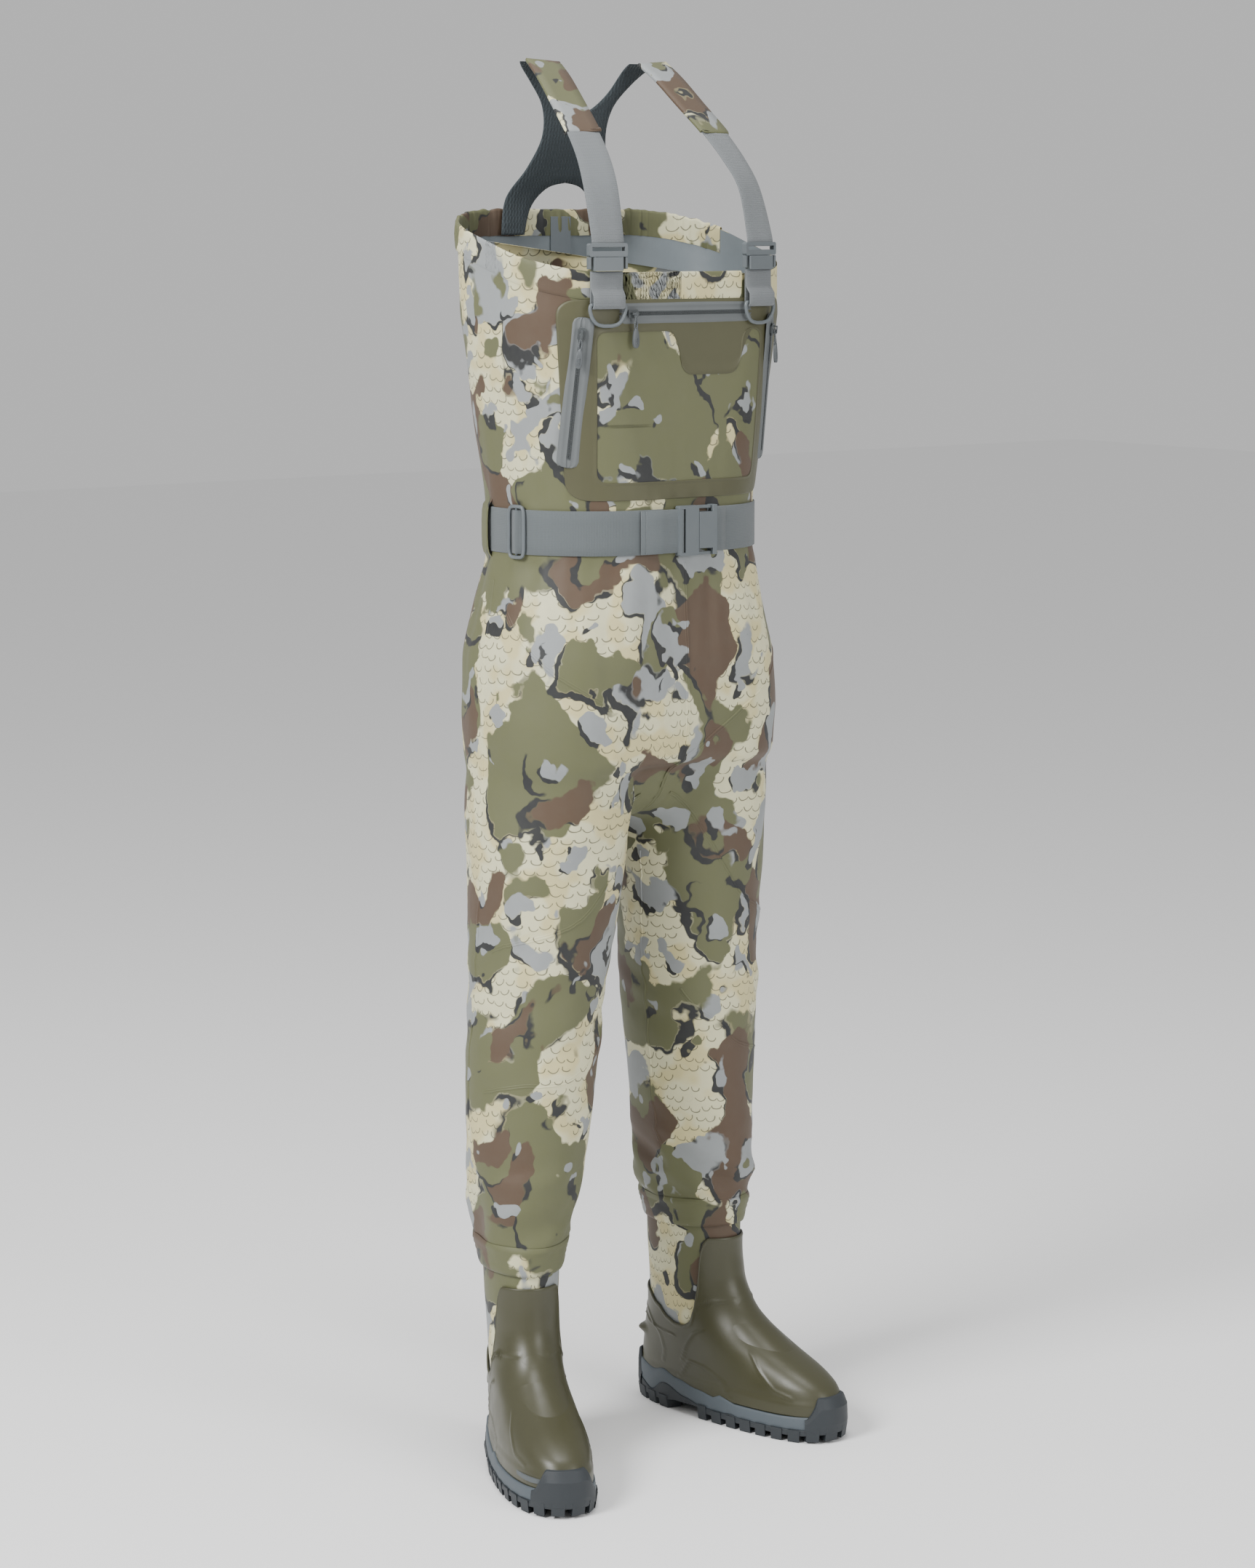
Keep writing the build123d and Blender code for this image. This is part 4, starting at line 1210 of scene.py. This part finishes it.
def bootUpper(side, name):
    count = 96
    rings = []
    heights = [36 + (250 - 36) * k / 50 for k in range(51)]
    profile = [(z, -3.0 if z > 106 else -3.6) for z in heights] + [
        (251.5, -4.0), (251.5, -5.2), (250, -6.0),
    ] + [(z, -6.2) for z in heights[::-4]]
    for z, grow in profile:
        rings.append([bootPlace(side, *bootOutline(z, 2 * math.pi * j / count, grow), z) for j in range(count)])
    bm = loops(rings, caps=(0, -1))
    writeUv(bm, garmentUv)
    return settle(bm, name + "_neoprene_upper", camoMat, "waders", (name + "_boot_upper",))


midTop = [
    (-10, 50), (10, 46), (40, 42), (58, 46), (84, 40), (120, 34), (150, 30), (158, 35), (172, 31), (180, 29),
    (240, 29), (300, 31), (320, 32),
]
midLow = [
    (-10, 26), (14, 22), (38, 15), (60, 29), (66, 29), (100, 20), (130, 15), (160, 14), (175, 16), (190, 14),
    (240, 14), (320, 16),
]
arch = [(-10, 0), (62, 0), (84, 5), (120, 6), (140, 0), (270, 0), (300, 3), (320, 6)]


def soleRing(side, count, grow, height):
    ring = []
    for j in range(count):
        a = 2 * math.pi * j / count
        along, across = bootOutline(34, a, grow)
        ring.append(bootPlace(side, along, across, height(along)))
    return ring


def bootSole(side, name):
    count = 150
    rings = []
    for grow, t in (
        (1.0, 0.0), (3.4, 0.0), (4.0, 0.12), (4.2, 0.35), (3.6, 0.6), (3.2, 0.85), (2.6, 0.97), (1.8, 1.0),
        (-1.0, 1.0), (-4.0, 0.9),
    ):
        rings.append(soleRing(side, count, grow, lambda a, t=t: table(a, midLow) * (1 - t) + table(a, midTop) * t))
    settle(loops(rings, caps=(0, -1)), name + "_midsole_band", midMat, "waders", (name + "_midsole",))
    rings = []
    for grow, t in ((-3.0, 0.0), (3.2, 0.0), (4.6, 0.08), (5.0, 0.5), (4.8, 0.9), (4.2, 1.0), (2.0, 1.0)):
        rings.append(soleRing(
            side, count, grow, lambda a, t=t: (7.5 + table(a, arch)) * (1 - t) + (table(a, midLow) + 0.6) * t,
        ))
    bm = loops(rings, caps=(0, -1))
    steps = 600
    path = [bootOutline(34, 2 * math.pi * j / steps, 0) for j in range(steps)]
    marks = [0.0]
    for p, q in zip(path, path[1:] + path[:1]):
        marks.append(marks[-1] + math.hypot(q[0] - p[0], q[1] - p[1]))
    lugs = 30
    for k in range(lugs):
        spans = []
        for f in (0.0, 0.66):
            want = marks[-1] * (k + f + 0.17) / lugs
            i = max(n for n in range(steps) if marks[n] <= want)
            spans.append(2 * math.pi * i / steps)
        a0, a1 = spans
        middleAlong = bootOutline(34, (a0 + a1) / 2, 0)[0]
        lift = table(middleAlong, arch)
        if lift > 4.5 and middleAlong < 200:
            continue
        corners = []
        for z, out, inn in ((lift if middleAlong > 200 else 0.0, 4.0, -13.0), (15.0 + lift, 6.4, -14.0)):
            for a, grow in ((a0, out), (a1, out), (a1, inn), (a0, inn)):
                along, across = bootOutline(34, a, grow)
                corners.append(bootPlace(side, along, across, z))
        verts = bmesh.ops.create_cube(bm, size=1.0)["verts"]
        order = sorted(verts, key=lambda v: (v.co.z, math.atan2(v.co.y, v.co.x)))
        for v, p in zip(order, corners):
            v.co = p
    for along in list(range(20, 66, 15)) + list(range(152, 268, 17)):
        for across in (-15, 4):
            tilt = 5 if across < 0 else -5
            corners = []
            for z in (0.0, 9.0):
                for da, dx in ((0, 0), (0, 12), (9, 12), (9, 0)):
                    corners.append(bootPlace(
                        side, along + da + (tilt if dx else 0),
                        across + dx + 9.0 * (max(along - 75, 0) / 225.0) ** 2, z,
                    ))
            verts = bmesh.ops.create_cube(bm, size=1.0)["verts"]
            order = sorted(verts, key=lambda v: (v.co.z, math.atan2(v.co.y, v.co.x)))
            for v, p in zip(order, corners):
                v.co = p
    for start, end, top in ((-1, 1, "toe"), (0, 0, "heel")):
        sheet = []
        for grow, t in ((3.6, 0.0), (5.4, 0.02), (6.4, 0.25), (6.0, 0.7), (4.8, 0.97), (2.5, 1.0), (1.2, 0.98)):
            ring = []
            for j in range(61):
                a = (-0.62 + 1.24 * j / 60) if top == "toe" else math.pi - 0.5 + 1.0 * j / 60
                along, _ = bootOutline(34, a, 0)
                if top == "toe":
                    high = 28 + 26 * ease(abs(0.62 - abs(-0.62 + 1.24 * j / 60)), 0, 0.3)
                else:
                    high = 30 + 27 * ease(0.5 - abs(-0.5 + 1.0 * j / 60), 0, 0.28)
                z = 12 + (high - 12) * t
                extra = -1.5 * ease(z, 40, 56) if top == "toe" else 0
                along, across = bootOutline(max(z, 34), a, grow + extra)
                ring.append(bootPlace(side, along, across, z))
            sheet.append(ring)
        part = loops(sheet, closed=False)
        bmesh.ops.recalc_face_normals(part, faces=part.faces[:])
        mesh = bpy.data.meshes.new("guard")
        part.to_mesh(mesh)
        part.free()
        bm.from_mesh(mesh)
        bpy.data.meshes.remove(mesh)
    settle(
        bm, name + "_lugged_outsole", outMat, "waders", (name + "_outsole",), smooth=False,
        bevel=0.0008,
    )


for side, name in ((-1, "right"), (1, "left")):
    bootShell(side, name)
    bootUpper(side, name)
    bootSole(side, name)
    dress(nodes[name + "_insole"], insoleMat)
print("boots done")


def cuffBand(side, name):
    profile = [
        (0.2, 266), (1.6, 263), (2.0, 259), (1.3, 257), (2.0, 254), (1.3, 251), (2.0, 248), (1.3, 245),
        (1.9, 241), (2.0, 235), (1.2, 231.5), (-0.8, 231), (-2.0, 233), (-2.0, 245),
    ]
    rings = []
    for out, z in profile:
        ring = []
        for k in range(120):
            b = 2 * math.pi * k / 120
            x, y = legPoint(side, max(z, 232), b, 0.0)
            cx, cy, turn = legAxis(side, sampled(legRings, max(z, 232))[2])
            n = Vector((x - cx, y - cy, 0)).normalized()
            push = legFolds(side, x, y, z) * 0.8 + out
            ring.append(place(x + n.x * push, y + n.y * push, z + 1.2 * math.sin(b * 2 + side)))
        rings.append(ring)
    bm = loops(rings)
    writeUv(bm, garmentUv)
    settle(bm, name + "_cuff_band", camoMat, "waders", (name + "_cuff",))


for side, name in ((-1, "right"), (1, "left")):
    cuffBand(side, name)

dress(nodes["back_seam_tape"], plainMaterial("seam_tape", srgb("5d6468"), 0.5, 60.0, 0.002, 0.1))


# a raised stitched seam following the cloth
def seamLine(points, name):
    out, normals = [], []
    for p in curved([Vector(p) for p in points], len(points) * 16):
        hit, n, _, _ = skinTree.find_nearest(place(*p))
        out.append(hit + n * 0.0002)
        normals.append(n)
    rings = []
    for i, p in enumerate(out):
        ahead = (out[min(i + 1, len(out) - 1)] - out[max(i - 1, 0)]).normalized()
        normal = normals[i]
        across = ahead.cross(normal).normalized()
        ring = []
        for a, h in ((-2.6, -0.4), (-2.0, 0.5), (-0.5, 0.75), (0.1, -0.1), (0.5, 0.1), (2.2, 0.1), (2.8, -0.4)):
            ring.append(p + across * (a / 1000) + normal * (h / 1000))
        rings.append(ring)
    bm = loops(rings, closed=False)
    writeUv(bm, garmentUv)
    settle(bm, name, camoMat, "waders", ())


skinTree = BVHTree.FromObject(skin, bpy.context.evaluated_depsgraph_get())
seamLine(
    [(2, -130, 1036), (2, -130, 960), (3, -128, 880), (3, -118, 815), (2, -90, 768), (2, -40, 742)],
    "front_rise_seam",
)
seamLine([(2, 130, 1036), (2, 130, 960), (3, 128, 880), (3, 118, 815), (2, 90, 768), (2, 40, 742)], "seat_seam")
for side, name in ((-1, "right"), (1, "left")):
    seamLine(
        [
            (side * 4, -118, 812), (side * 60, -118, 850), (side * 110, -105, 885), (side * 160, -70, 930),
            (side * 190, -20, 985),
        ],
        name + "_thigh_seam",
    )
    seamLine(
        [(side * 20, -80, 760), (side * 66, -98, 700), (side * 120, -80, 640), (side * 190, -20, 600)],
        name + "_upper_knee_seam",
    )
    seamLine([(side * 30, -60, 520), (side * 110, -90, 470), (side * 190, -20, 440)], name + "_lower_knee_seam")
    seamLine(
        [(side * 60, 0, 700), (side * 66, 10, 560), (side * 80, 20, 420), (side * 92, 20, 300)],
        name + "_inseam",
    )
    seamLine(
        [
            (side * 250, 10, 1030), (side * 250, 10, 900), (side * 250, 10, 700), (side * 230, 20, 500),
            (side * 230, 20, 300),
        ],
        name + "_side_seam",
    )
print("cuffs and seams done")

floorMat = Graph("studio_floor").finish((0.93, 0.93, 0.93, 1), 0.9)
bm = bmesh.new()
bmesh.ops.create_grid(bm, x_segments=1, y_segments=1, size=14.0)
mesh = bpy.data.meshes.new("floor")
bm.to_mesh(mesh)
bm.free()
floor = bpy.data.objects.new("floor", mesh)
mesh.materials.append(floorMat)
floor.location.z = -0.0004
bpy.context.scene.collection.objects.link(floor)
world = bpy.data.worlds.new("studio")
world.use_nodes = True
world.node_tree.nodes["Background"].inputs[0].default_value = (1.0, 1.0, 1.0, 1)
world.node_tree.nodes["Background"].inputs[1].default_value = 0.6
bpy.context.scene.world = world


def lamp(name, spot, size, power):
    light = bpy.data.lights.new(name, "AREA")
    light.shape, light.size, light.energy = "DISK", size, power
    obj = bpy.data.objects.new(name, light)
    obj.location = spot
    obj.rotation_mode = "QUATERNION"
    obj.rotation_quaternion = (Vector(spot) - Vector((0, 0, 0.9))).to_track_quat("Z", "Y")
    bpy.context.scene.collection.objects.link(obj)


def around(azimuth, distance, height):
    a = math.radians(azimuth)
    return (math.sin(a) * distance, -math.cos(a) * distance, height)


lamp("key", around(-82, 3.4, 3.0), 1.5, 190)
lamp("fill", around(10, 4.0, 2.2), 2.0, 70)
lamp("top", around(-40, 0.6, 4.2), 1.5, 70)

cameraSpec = {"azimuth": -37.15, "distance": 4.535, "height": 1.439, "pitch": 8.38, "lens": 114.0, "sideways": 0.0091}
data = bpy.data.cameras.new("photo_camera")
data.lens, data.sensor_width, data.sensor_fit = cameraSpec["lens"], 36.0, "HORIZONTAL"
camera = bpy.data.objects.new("photo_camera", data)
a, p = math.radians(cameraSpec["azimuth"]), math.radians(cameraSpec["pitch"])
right = Vector((math.cos(a), math.sin(a), 0))
camera.location = place(0, 0, 0) + Vector((
    math.sin(a), -math.cos(a), 0,
)) * cameraSpec["distance"] + right * cameraSpec["sideways"] + Vector((0, 0, cameraSpec["height"]))
aim = Vector((-math.sin(a) * math.cos(p), math.cos(a) * math.cos(p), -math.sin(p)))
camera.rotation_mode = "QUATERNION"
camera.rotation_quaternion = aim.to_track_quat("-Z", "Y")
data.clip_end = 60
bpy.context.scene.collection.objects.link(camera)
bpy.context.scene.camera = camera
